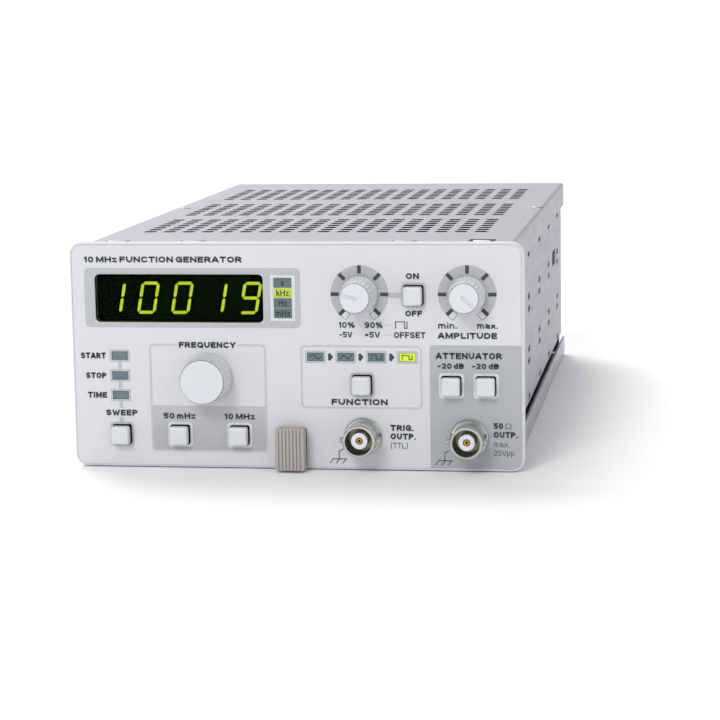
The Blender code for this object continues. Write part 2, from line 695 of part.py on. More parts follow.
# ---- boards ---------------------------------------------------------------------------------------------
def boards():
    """Upright board behind the panel, and the main board whose rear tongue is the edge plug."""
    x = (-0.0610, 0.0610)
    y = (FACE_Y + FRONT_BOARD_DEPTHS[0], FACE_Y + FRONT_BOARD_DEPTHS[1])
    box("front_board", x, y, (0.0090, 0.0640), BOARD_LOOK)
    front, back, tip = FACE_Y + 0.0190, FACE_Y + 0.2240, FACE_Y + CASE_DEPTH + PLUG_REACH
    wide, narrow = 0.0600, TONGUE_WIDTH / 2
    chamfer = 0.0012
    half_outline = [
        (wide, front),
        (wide, back),
        (narrow, back),
        (narrow, tip - chamfer),
        (narrow - chamfer, tip),
    ]
    outline = half_outline + [(-x, y) for x, y in reversed(half_outline)]
    centre = (0.0, 0.0, BOARD_HEIGHT + BOARD_THICKNESS / 2)
    plate("main_board", [outline], FLAT, centre, BOARD_THICKNESS, BOARD_LOOK)


def heat_sink():
    """Finned extrusion on the main board for the output stage."""
    fins, pitch, thickness = 8, 0.0040, 0.0014
    low, web, top = BOARD_HEIGHT + BOARD_THICKNESS + GAP, 0.0140, 0.0380
    left = 0.0240
    outline = [(left, low), (left + (fins - 1) * pitch + thickness, low)]
    for fin in reversed(range(fins)):
        start = left + fin * pitch
        outline += [(start + thickness, top), (start, top)]
        if fin:
            outline += [(start, web), (start - pitch + thickness, web)]
    centre = (0.0, FACE_Y + 0.1750, 0.0)
    plate("heat_sink", [outline], FRONT, centre, 0.0420, ALUMINIUM_LOOK)


front_panel()
display()
lamps()
keys()
knobs()
sockets()
latch()
top_cover()
bottom_tray()
side_walls()
rear_panel()
front_frame()
boards()
heat_sink()
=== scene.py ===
"""Looks of a plug-in function generator module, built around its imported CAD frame."""

import math

import bmesh
import bpy
from mathutils import Euler, Matrix, Vector


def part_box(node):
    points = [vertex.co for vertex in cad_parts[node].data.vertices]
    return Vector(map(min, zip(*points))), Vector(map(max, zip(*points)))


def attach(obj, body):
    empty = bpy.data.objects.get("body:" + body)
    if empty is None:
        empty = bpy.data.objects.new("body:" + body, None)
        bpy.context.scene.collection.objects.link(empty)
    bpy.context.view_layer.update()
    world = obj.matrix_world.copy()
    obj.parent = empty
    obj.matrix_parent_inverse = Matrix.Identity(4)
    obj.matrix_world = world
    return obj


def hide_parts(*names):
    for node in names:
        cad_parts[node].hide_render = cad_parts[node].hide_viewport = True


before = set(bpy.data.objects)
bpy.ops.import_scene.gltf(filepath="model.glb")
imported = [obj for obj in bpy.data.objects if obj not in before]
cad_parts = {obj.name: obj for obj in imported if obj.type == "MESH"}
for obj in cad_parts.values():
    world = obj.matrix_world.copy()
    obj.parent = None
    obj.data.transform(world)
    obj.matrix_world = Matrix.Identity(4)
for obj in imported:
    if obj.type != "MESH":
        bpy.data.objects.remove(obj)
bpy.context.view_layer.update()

MM = 0.001
HOUSING = "housing"
PANEL_LOW, PANEL_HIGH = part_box("front_panel")
FACE_Y = PANEL_LOW.y
BASE_Z = PANEL_LOW.z
PANEL_WIDTH = (PANEL_HIGH.x - PANEL_LOW.x) / MM
RIM = 0.75  # mm, plain rim and groove round the printed face

# Distances of the printed layers in front of the panel's face, in mm.
FIELD_LEVEL, SURROUND_LEVEL, LINE_LEVEL, TEXT_LEVEL = 0.015, 0.030, 0.045, 0.060


# ---- materials ----
def linear(colour, factor=1.0):
    """A colour given as 0..255 values on screen, as linear values times a factor."""
    shares = [value / 255 for value in colour]
    values = [share / 12.92 if share <= 0.04045 else ((share + 0.055) / 1.055) ** 2.4 for share in shares]
    return tuple(min(1.0, value * factor) for value in values) + (1.0,)


class Surface:
    """A node material with a Principled shader, and short ways to add textures to it."""

    def __init__(self, name, **values):
        self.material = bpy.data.materials.new(name)
        self.material.use_nodes = True
        self.nodes = self.material.node_tree.nodes
        self.links = self.material.node_tree.links
        self.shader = self.nodes["Principled BSDF"]
        self.place = self.nodes.new("ShaderNodeTexCoord").outputs["Object"]
        self.set(self.shader, **values)

    def set(self, node, **values):
        """Sets sockets, whose names are written with _ for a space."""
        for socket, value in values.items():
            node.inputs[socket.replace("_", " ")].default_value = value

    def add(self, kind, socket, source, **values):
        """A new node that takes source at one socket and has others set."""
        node = self.nodes.new("ShaderNode" + kind)
        self.set(node, **values)
        self.links.new(source, node.inputs[socket])
        return node

    def noise(self, size, detail=3.0, stretch=(1.0, 1.0, 1.0)):
        """Noise whose blotches are about size metres across."""
        place = self.add("Mapping", "Vector", self.place, Scale=stretch).outputs["Vector"]
        node = self.add("TexNoise", "Vector", place, Scale=1.0 / size, Detail=detail, Roughness=0.55)
        return node.outputs["Fac"]

    def wave(self, direction, scale):
        """Even bands across an axis."""
        node = self.add("TexWave", "Vector", self.place, Scale=scale)
        node.bands_direction = direction
        return node.outputs["Fac"]

    def ramp(self, value, low, high, start=0.3, end=0.7):
        """A colour between two, as the value goes from start to end."""
        node = self.add("ValToRGB", "Fac", value)
        for element, place, colour in zip(node.color_ramp.elements, (start, end), (low, high)):
            element.position = place
            element.color = colour
        return node.outputs["Color"]

    def shades(self, value, colour, low, high):
        """A colour between two factors of itself."""
        return self.ramp(value, linear(colour, low), linear(colour, high))

    def spread(self, value, low, high, start=0.3, end=0.7):
        """A number between low and high, as the value goes from start to end."""
        ends = {"From_Min": start, "From_Max": end, "To_Min": low, "To_Max": high}
        return self.add("MapRange", "Value", value, **ends).outputs["Result"]

    def blend(self, factor, first, second):
        """Two colours mixed, with this much of the second."""
        node = self.nodes.new("ShaderNodeMix")
        node.data_type = "RGBA"
        factor_socket, first_socket, second_socket = node.inputs[0], node.inputs[6], node.inputs[7]
        factor_socket.default_value = factor
        self.links.new(first, first_socket)
        self.links.new(second, second_socket)
        return node.outputs[2]

    def feed(self, value, *sockets):
        for socket in sockets:
            self.links.new(value, self.shader.inputs[socket])

    def paint(self, tone, value, low, high):
        """Feeds the base colour, and a roughness that follows the value."""
        self.feed(tone, "Base Color")
        self.feed(self.spread(value, low, high), "Roughness")

    def bump(self, height, depth):
        """Adds bump whose full swing is depth metres, on top of any that is there."""
        node = self.add("Bump", "Height", height, Strength=1.0, Distance=depth)
        normal = self.shader.inputs["Normal"]
        if normal.is_linked:
            self.links.new(normal.links[0].from_socket, node.inputs["Normal"])
        self.links.new(node.outputs["Normal"], normal)
        return self


def moulded(name, colour, roughness, shade=0.05, grain=0.00035, depth=0.000012):
    """Moulded plastic: fine spark-eroded grain, faint cloudiness in its colour and gloss."""
    surface = Surface(name, IOR=1.47)
    fine = surface.noise(grain, 4.0)
    tone = surface.shades(surface.noise(0.018, 2.0), colour, 1 - shade, 1 + shade)
    surface.paint(tone, fine, roughness - 0.06, roughness + 0.08)
    return surface.bump(fine, depth)


INK_GRAIN, INK_DETAIL, INK_DEPTH = 0.0005, 5.0, 0.000006


def printed(name, colour, roughness=0.5):
    """Screen-printed ink: slightly uneven cover and gloss."""
    surface = Surface(name)
    mottle = surface.noise(INK_GRAIN, INK_DETAIL)
    surface.paint(surface.shades(mottle, colour, 0.93, 1.06), mottle, roughness - 0.05, roughness + 0.07)
    return surface.bump(mottle, INK_DEPTH)


def field_with_painted_shade(name, light, dark, low, high):
    """Ink with painted shade: its tone deepens a little from a height on the panel, in mm, down to a lower
    one, in place of the soft shadow of the knobs and keys.
    """
    surface = Surface(name)
    height = surface.add("SeparateXYZ", "Vector", surface.place).outputs["Z"]
    shade_fall = surface.spread(height, 0.0, 1.0, BASE_Z + low * MM, BASE_Z + high * MM)
    tone = surface.ramp(shade_fall, linear(dark), linear(light), 0.0, 0.9)
    cloud = surface.ramp(surface.noise(0.012), linear(dark, 0.9), linear(light, 1.05))
    fine = surface.noise(INK_GRAIN, INK_DETAIL)
    surface.paint(surface.blend(0.12, tone, cloud), fine, 0.42, 0.55)
    return surface.bump(fine, INK_DEPTH)


def sheet_metal(name, colour, roughness, metallic, streak=(1.0, 0.08, 1.0), shade=0.06):
    """Rolled and coated sheet: long faint streaks, clouded gloss and a fine tooth."""
    surface = Surface(name, Metallic=metallic)
    streaks = surface.noise(0.0016, 4.0, streak)
    tones = [surface.shades(value, colour, 1 - shade, 1 + shade) for value in (surface.noise(0.03), streaks)]
    surface.paint(surface.blend(0.35, *tones), streaks, roughness - 0.06, roughness + 0.08)
    surface.bump(surface.noise(0.0003), 0.000010)
    return surface.bump(streaks, 0.000012)


def turned_metal(name, colour, roughness):
    """Machined and plated metal: fine turning rings along its axis and faint tarnish."""
    surface = Surface(name, Metallic=1.0)
    tarnish = surface.noise(0.0035)
    surface.paint(surface.shades(tarnish, colour, 0.88, 1.06), tarnish, roughness - 0.04, roughness + 0.06)
    return surface.bump(surface.wave("Y", 1400.0), 0.000002)


def lamp_lens(name, colour, glow=0.0):
    """Light pipe of a lamp: milky plastic with fine vertical ribs."""
    surface = Surface(name, Roughness=0.3, IOR=1.5, Emission_Strength=glow)
    tone = surface.shades(surface.noise(0.0016), colour, 0.85, 1.12)
    surface.feed(tone, *(["Base Color", "Emission Color"] if glow else ["Base Color"]))
    return surface.bump(surface.wave("X", 900.0), 0.000010)


def glowing(name, core, edge, strength):
    """A lit segment, a little uneven along its length."""
    surface = Surface(name, Emission_Strength=strength, Roughness=0.4)
    tone = surface.ramp(surface.noise(0.0022, 2.0), linear(edge), linear(core), 0.25, 0.65)
    surface.feed(tone, "Base Color", "Emission Color")
    return surface


def tinted_window():
    """Dark green filter that lets the lit digits through and hardly mirrors the room."""
    surface = Surface("window_acrylic", IOR=1.07, Transmission_Weight=1.0, Specular_IOR_Level=0.2)
    haze = surface.noise(0.006)
    surface.paint(surface.ramp(haze, linear((196, 214, 176)), linear((214, 228, 196))), haze, 0.04, 0.09)
    return surface.bump(haze, 0.000002)


def dull_black(name, colour):
    """Matt dark face, as behind the filter."""
    surface = Surface(name, Specular_IOR_Level=0.05)
    cloud = surface.noise(0.01, 2.0)
    surface.paint(surface.shades(cloud, colour, 0.8, 1.2), cloud, 0.85, 0.95)
    return surface.bump(cloud, 0.000005)


def circuit_board():
    """Green solder mask over a net of copper tracks."""
    surface = Surface("circuit_board", Roughness=0.35)
    colours = {"Color1": (16, 74, 40), "Color2": (24, 92, 52), "Mortar": (52, 122, 66)}
    colours = {socket: linear(colour) for socket, colour in colours.items()}
    tracks = surface.add("TexBrick", "Vector", surface.place, Scale=220.0, Mortar_Size=0.06, **colours)
    surface.feed(tracks.outputs["Color"], "Base Color")
    return surface.bump(tracks.outputs["Fac"], 0.00003)


PANEL_SKIN = moulded("panel_plastic", (203, 204, 208), 0.42, 0.012, 0.0004, 0.000008)
FIELD_GREY = printed("surround_grey", (174, 176, 178))
LINE_GREY = printed("outline_grey", (184, 185, 187))
PALE_SURROUND = printed("pale_surround", (206, 208, 211))
PALE_BORDER = printed("pale_border", (206, 208, 211))
TEXT_INK = printed("text_ink", (48, 57, 60), 0.45)
THIN_INK = printed("thin_text_ink", (88, 96, 99), 0.45)
# Painted shade: these two fields darken towards their foot, for the soft shadow of the knobs and keys above
# them.
FREQUENCY_FIELD = field_with_painted_shade("frequency_field", (178, 179, 183), (163, 164, 168), 4.7, 18.6)
ATTENUATOR_FIELD = field_with_painted_shade("attenuator_field", (167, 170, 174), (164, 167, 169), 0.0, 37.3)
DIAL_GREY = printed("dial_grey", (169, 170, 173))
WAVE_INK = printed("waveform_ink", (44, 58, 58))
KEY_PLASTIC = moulded("key_plastic", (203, 205, 209), 0.38, 0.015, 0.0003)
KNOB_PLASTIC = moulded("knob_plastic", (205, 207, 212), 0.40, 0.015, 0.0003)
BLACK_PLASTIC = moulded("black_plastic", (26, 26, 27), 0.5, 0.1)
GRIP_PLASTIC = moulded("grip_plastic", (164, 158, 152), 0.5, 0.03, 0.0004, 0.00002)
LAMP_OFF = lamp_lens("lamp_off", (92, 112, 117))
LAMP_ON = lamp_lens("lamp_on", (186, 208, 34), 0.35)
UNIT_OFF = lamp_lens("unit_off", (84, 100, 102))
UNIT_ON = lamp_lens("unit_on", (158, 176, 52), 0.3)
DIGIT_ON = glowing("digit_on", (206, 203, 62), (190, 190, 52), 0.85)
DIGIT_OFF = dull_black("digit_off", (7, 14, 8))
DISPLAY_FACE = dull_black("display_face", (3, 20, 6))
WINDOW = tinted_window()
COVER_METAL = sheet_metal("cover_metal", (161, 160, 168), 0.46, 0.6, shade=0.03)
# Painted highlight: the cover's sheet made lighter, for one hook and the pressed pips.
HIGHLIGHT_METAL = sheet_metal("painted_highlight_metal", (200, 200, 204), 0.4, 0.3)
# Near-black used as painted shade: on the walls of the vent slits, behind the cover hooks and in the pips'
# holes.
SHADE_BLACK = sheet_metal("painted_shade_black", (26, 26, 30), 0.7, 0.2)
# Painted shade: the cover's sheet, made a little darker for the side walls.
WALL_SHADED_METAL = sheet_metal("wall_metal_painted_shade", (155, 155, 165), 0.46, 0.6, shade=0.05)
ZINC = sheet_metal("zinc_plate", (172, 173, 178), 0.38, 0.8, shade=0.10)
INNER_DARK = sheet_metal("inner_steel", (110, 111, 116), 0.5, 0.6, shade=0.10)
ALUMINIUM = sheet_metal("aluminium", (186, 187, 190), 0.35, 1.0, (1.0, 1.0, 0.1))
PTFE = moulded("white_insulator", (216, 216, 224), 0.35, 0.02, 0.0003, 0.000004)
NICKEL = turned_metal("nickel", (184, 187, 183), 0.16)
# Painted shade and painted reflection: darker, yellower metal lining the socket bores.
BORE_SHADE_METAL = turned_metal("bore_painted_shade", (152, 148, 130), 0.38)
GOLD = turned_metal("contact_gold", (200, 150, 70), 0.25)
# Painted shade: dark brown for the hole in each socket's centre contact.
CONTACT_SHADE = dull_black("contact_hole_shade", (58, 22, 6))
BOARD = circuit_board()


# ---- geometry helpers ----
TO_METRES = Matrix.Diagonal((MM, MM, MM, 1.0))
UPRIGHT = Matrix.Rotation(math.pi / 2, 4, "X")


def on_panel(x, height, forward=0.0):
    """The world place of a point of the panel, all in mm."""
    return Vector((x * MM, FACE_Y - forward * MM, BASE_Z + height * MM))


def lying_on_panel(level):
    """Takes x, y in mm to the panel's face, a level in front of it."""
    return Matrix.Translation((0.0, FACE_Y - level * MM, BASE_Z)) @ UPRIGHT @ TO_METRES


def add_object(name, data):
    obj = bpy.data.objects.new(name, data)
    bpy.context.scene.collection.objects.link(obj)
    return obj


def mesh_of(shape, name):
    """The mesh of a bmesh, which is freed."""
    mesh = bpy.data.meshes.new(name)
    shape.to_mesh(mesh)
    shape.free()
    return mesh


def smoothed(mesh, degrees):
    """Shades a mesh smooth, apart from edges sharper than this."""
    mesh.shade_smooth()
    mesh.set_sharp_from_angle(angle=math.radians(degrees))


def face_outward(shape):
    bmesh.ops.recalc_face_normals(shape, faces=shape.faces)


def piece(name, shape, surface, smooth=None, body=HOUSING):
    """Makes a piece from a bmesh in world coordinates, and lets it ride on a body."""
    mesh = mesh_of(shape, name)
    mesh.materials.append(surface.material)
    obj = add_object(name, mesh)
    if smooth is not None:
        smoothed(mesh, smooth)
    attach(obj, body)
    return obj


def add_mesh(shape, mesh, matrix):
    """Adds a mesh, moved by a matrix, to a bmesh."""
    mesh.transform(matrix)
    shape.from_mesh(mesh)
    bpy.data.meshes.remove(mesh)


def evaluated_mesh(obj):
    """The mesh that an object shows."""
    bpy.context.view_layer.update()
    graph = bpy.context.evaluated_depsgraph_get()
    return bpy.data.meshes.new_from_object(obj.evaluated_get(graph))


def filled(outlines, thickness=0.0):
    """A flat filled mesh of closed outlines. An outline inside another is a hole."""
    curve = bpy.data.curves.new("outline", "CURVE")
    curve.dimensions = "2D"
    curve.fill_mode = "BOTH" if thickness else "FRONT"
    curve.extrude = thickness / 2
    for points in outlines:
        spline = curve.splines.new("POLY")
        spline.points.add(len(points) - 1)
        for point, (x, y) in zip(spline.points, points):
            point.co = (x, y, 0.0, 1.0)
        spline.use_cyclic_u = True
    obj = add_object("outline", curve)
    mesh = evaluated_mesh(obj)
    bpy.data.objects.remove(obj, do_unlink=True)
    return mesh


def turns(count):
    """The cosine and sine of even steps round a circle."""
    return [(math.cos(a), math.sin(a)) for a in (2 * math.pi * step / count for step in range(count))]


def skin(shape, loops, capped=False):
    """Joins closed loops of points with faces, one after another, and perhaps fills the first and last."""
    for first, second in zip(loops, loops[1:]):
        for step in range(len(first)):
            after = (step + 1) % len(first)
            shape.faces.new((first[step], first[after], second[after], second[step]))
    if capped:
        shape.faces.new(loops[-1])
        shape.faces.new(loops[0][::-1])


def rectangle(low_x, high_x, low_y, high_y, radius=0.0, steps=4):
    corners = (
        (high_x - radius, high_y - radius),
        (low_x + radius, high_y - radius),
        (low_x + radius, low_y + radius),
        (high_x - radius, low_y + radius),
    )
    if not radius:
        return list(corners)
    points = []
    for quarter, (x, y) in enumerate(corners):
        for step in range(steps + 1):
            angle = math.radians(90 * (quarter + step / steps))
            points.append((x + radius * math.cos(angle), y + radius * math.sin(angle)))
    return points


def square(centre, size, radius=0.0):
    half = size / 2
    return rectangle(centre[0] - half, centre[0] + half, centre[1] - half, centre[1] + half, radius)


def arc(centre, radius, start, end, steps=40):
    """Points round a centre, with angles clockwise from the top."""
    points = []
    for step in range(steps + 1):
        angle = math.radians(start + (end - start) * step / steps)
        points.append((centre[0] + radius * math.sin(angle), centre[1] + radius * math.cos(angle)))
    return points


def polar_box(centre, inner, outer, width, angle):
    """A bar pointing away from a centre, with its angle clockwise from the top."""
    sine, cosine, half = math.sin(math.radians(angle)), math.cos(math.radians(angle)), width / 2
    corners = ((inner, -half), (outer, -half), (outer, half), (inner, half))
    return [
        (centre[0] + sine * along + cosine * across, centre[1] + cosine * along - sine * across)
        for along, across in corners
    ]


def rounded_path(points, radius, steps=5):
    """A path whose marked corners are rounded. Each point is (x, y, whether it is rounded)."""
    path = []
    for number, (x, y, soft) in enumerate(points):
        here = Vector((x, y))
        if not soft or number in (0, len(points) - 1):
            path.append(here)
            continue
        ends = []
        for other in (points[number - 1], points[number + 1]):
            way = Vector(other[:2]) - here
            reach = min(radius, way.length * (0.5 if other[2] else 1.0))
            ends.append(here + way.normalized() * reach)
        first, last = ends
        handles = (first.lerp(here, 0.55), last.lerp(here, 0.55))
        for step in range(steps + 1):
            t = step / steps
            u = 1 - t
            path.append(first * u**3 + handles[0] * 3 * u * u * t + handles[1] * 3 * u * t * t + last * t**3)
    return path


def ribbon(shape, path, width, level, caps=(True, True)):
    """Adds a flat line along a path of the panel's face, with mitred corners and perhaps longer ends."""
    path = [Vector(point[:2]) for point in path]
    path = path[:1] + [point for before, point in zip(path, path[1:]) if (point - before).length > 1e-6]
    ways = [(after - before).normalized() for before, after in zip(path, path[1:])]
    half = width / 2
    if caps[0]:
        path[0] = path[0] - ways[0] * half
    if caps[1]:
        path[-1] = path[-1] + ways[-1] * half
    rows = []
    for number, point in enumerate(path):
        before, after = ways[max(number - 1, 0)], ways[min(number, len(ways) - 1)]
        side = Vector((-before.y - after.y, before.x + after.x))
        side = side.normalized() if side.length > 1e-6 else Vector((-after.y, after.x))
        reach = half / max(0.6, side.dot(Vector((-after.y, after.x))))
        pair = (point + side * reach, point - side * reach)
        rows.append([shape.verts.new(on_panel(end.x, end.y, level)) for end in pair])
    for (left_a, right_a), (left_b, right_b) in zip(rows, rows[1:]):
        shape.faces.new((left_a, left_b, right_b, right_a))


def lines_on_panel(name, lines, width, level, surface):
    """A printed piece made of lines."""
    shape = bmesh.new()
    for line in lines:
        closed = (Vector(line[0][:2]) - Vector(line[-1][:2])).length < 1e-6
        ribbon(shape, line, width, level, (not closed, not closed))
    return piece(name, shape, surface)


def print_on_panel(name, groups, level, surface):
    """A printed piece. Each group of outlines is filled by itself."""
    shape = bmesh.new()
    for outlines in groups:
        add_mesh(shape, filled(outlines), lying_on_panel(level))
    return piece(name, shape, surface)


# ---- places on the panel, in mm: (x, height) ----
def node_sides(node):
    """The left, right, foot and head of a node."""
    low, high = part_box(node)
    return low.x / MM, high.x / MM, (low.z - BASE_Z) / MM, (high.z - BASE_Z) / MM


def node_centre(node):
    left, right, foot, head = node_sides(node)
    return ((left + right) / 2, (foot + head) / 2)


def node_rectangle(node, margin):
    left, right, foot, head = node_sides(node)
    return rectangle(left - margin, right + margin, foot - margin, head + margin)


def reach_of(node):
    """How far a node stands in front of the panel's face."""
    return (FACE_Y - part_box(node)[0].y) / MM


FREQUENCY_KEYS, ATTENUATOR_KEYS = ("frequency_down", "frequency_up"), ("attenuator_a", "attenuator_b")
KEY_NAMES = ("sweep", *FREQUENCY_KEYS, "function", "offset_on", *ATTENUATOR_KEYS)
KEYS = {name: node_centre(f"{name}_key") for name in KEY_NAMES}
SWEEP_LAMPS = ("led_start", "led_stop", "led_time")
WAVE_LAMPS = ("led_sine", "led_triangle", "led_square", "led_pulse")
KNOBS = {name: node_centre(f"{name}_shaft") for name in ("frequency", "offset", "amplitude")}
SOCKETS = {name: node_centre(f"{name}_socket_insulator") for name in ("trigger", "output")}
KEY_HOLE = 6.0
OUTLINE_WIDTH = 0.6
FREQUENCY_BOX = (-44.0, -8.65, 4.7, 37.2)
FREQUENCY_TITLE = (-35.7, -16.9)  # the gap in its frame line
FREQUENCY_SPLIT = 18.6
FUNCTION_BOX = (1.6, 37.7, 18.2, 37.1)
ATTENUATOR_AREA = (39.9, PANEL_WIDTH / 2 - RIM, RIM, 37.3)
DISPLAY_SURROUND = (-63.2, 2.0, 42.0, 59.8)


def quarter(steps=6):
    return [math.pi / 2 * step / steps for step in range(steps + 1)]


def fields():
    """Grey fields printed on the panel, open where something passes through them."""
    surround = [rectangle(*DISPLAY_SURROUND, 1.6)]
    surround += [node_rectangle("display_window", 0.15), node_rectangle("unit_indicator", 0.2)]
    print_on_panel("display_surround", [surround], FIELD_LEVEL, FIELD_GREY)

    low_x, high_x, low_z, _ = FREQUENCY_BOX
    inset = OUTLINE_WIDTH / 2
    frequency = [rectangle(low_x + inset, high_x - inset, low_z + inset, FREQUENCY_SPLIT)]
    frequency += [square(KEYS[name], KEY_HOLE) for name in FREQUENCY_KEYS]
    print_on_panel("frequency_field", [frequency], FIELD_LEVEL, FREQUENCY_FIELD)

    low_x, high_x, low_z, high_z = ATTENUATOR_AREA
    foot, head = 2.85, 1.0  # corner radii
    outer = [(low_x, low_z)]
    outer += [(high_x - foot + foot * math.sin(a), low_z + foot - foot * math.cos(a)) for a in quarter()]
    outer += [(high_x, high_z)]
    outer += [(low_x + head - math.sin(a), high_z - head + math.cos(a)) for a in quarter()]
    area = [outer] + [square(KEYS[name], KEY_HOLE) for name in ATTENUATOR_KEYS]
    area.append(arc(SOCKETS["output"], 5.2, 0, 350, 35))
    print_on_panel("attenuator_field", [area], FIELD_LEVEL, ATTENUATOR_FIELD)


def box_line(low_x, high_x, low_z, high_z, gap):
    """The path of a rounded frame line, open at its top between two places."""
    inset = OUTLINE_WIDTH / 2
    x0, x1, z0, z1 = low_x + inset, high_x - inset, low_z + inset, high_z - inset
    corners = [(x1, z1), (x1, z0), (x0, z0), (x0, z1)]
    path = [(gap[1], z1, False)] + [(x, z, True) for x, z in corners] + [(gap[0], z1, False)]
    return rounded_path(path, 1.3)


def outlines():
    """Frame lines round the frequency and function groups, and the line that links the sweep lamps."""
    middle = (FUNCTION_BOX[0] + FUNCTION_BOX[1]) / 2
    lines = [box_line(*FREQUENCY_BOX, FREQUENCY_TITLE), box_line(*FUNCTION_BOX, (middle, middle))]
    lines_on_panel("group_outlines", lines, OUTLINE_WIDTH, LINE_LEVEL, LINE_GREY)

    lamp_x = node_centre("led_time")[0]
    half_width, clear, label_place, key_top = 0.57, 1.8, (15.0, 17.7), 13.3
    start, stop, time = (node_centre(name)[1] for name in SWEEP_LAMPS)
    ends = [(stop + clear, start - clear), (time + clear, stop - clear)]
    ends += [(label_place[1], time - clear), (key_top, label_place[0])]
    link = [[rectangle(lamp_x - half_width, lamp_x + half_width, low, high)] for low, high in ends]
    print_on_panel("sweep_link", link, FIELD_LEVEL, FIELD_GREY)

    rims = [[node_rectangle(name, 0.78), node_rectangle(name, 0.15)] for name in SWEEP_LAMPS + WAVE_LAMPS]
    print_on_panel("lamp_surrounds", rims, SURROUND_LEVEL, FIELD_GREY)


def key_surrounds():
    for name, centre in KEYS.items():
        pale = name in FREQUENCY_KEYS + ATTENUATOR_KEYS
        ring = [square(centre, 7.5 if pale else 7.3, 1.1), square(centre, KEY_HOLE, 0.6)]
        surface = PALE_SURROUND if pale else FIELD_GREY
        print_on_panel(f"{name}_key_surround", [ring], SURROUND_LEVEL, surface)


DIAL_OUTER, DIAL_INNER, TICK_INNER, TICK_WIDTH = 8.55, 4.6, 6.1, 1.1
DIAL_END, TICK_STEP, END_BOX_ANGLE = 135, 45, 145.0  # degrees from the top


def dials():
    """Scale rings of the offset and amplitude knobs, with their ticks and end boxes."""
    for name in ("offset", "amplitude"):
        centre = KNOBS[name]
        ring = arc(centre, DIAL_OUTER, -DIAL_END, DIAL_END, 54)
        ring += arc(centre, DIAL_INNER, DIAL_END, -DIAL_END, 54)
        print_on_panel(f"{name}_dial", [[ring]], FIELD_LEVEL, DIAL_GREY)
        places = range(-DIAL_END, DIAL_END + 1, TICK_STEP)
        ticks = [[polar_box(centre, TICK_INNER, DIAL_OUTER, TICK_WIDTH, angle)] for angle in places]
        print_on_panel(f"{name}_ticks", ticks, LINE_LEVEL, TEXT_INK)
        boxes = [polar_box(centre, 6.4, 8.5, 1.9, angle) for angle in (-END_BOX_ANGLE, END_BOX_ANGLE)]
        closed = [corners + corners[:1] for corners in boxes]
        lines_on_panel(f"{name}_end_boxes", closed, 0.14, LINE_LEVEL, THIN_INK)
    (knob_x, _), (key_x, height) = KNOBS["offset"], KEYS["offset_on"]
    bar = rectangle(knob_x + 8.5, key_x - 3.6, height - 0.8, height + 0.8)
    print_on_panel("offset_link", [[bar]], FIELD_LEVEL, FIELD_GREY)


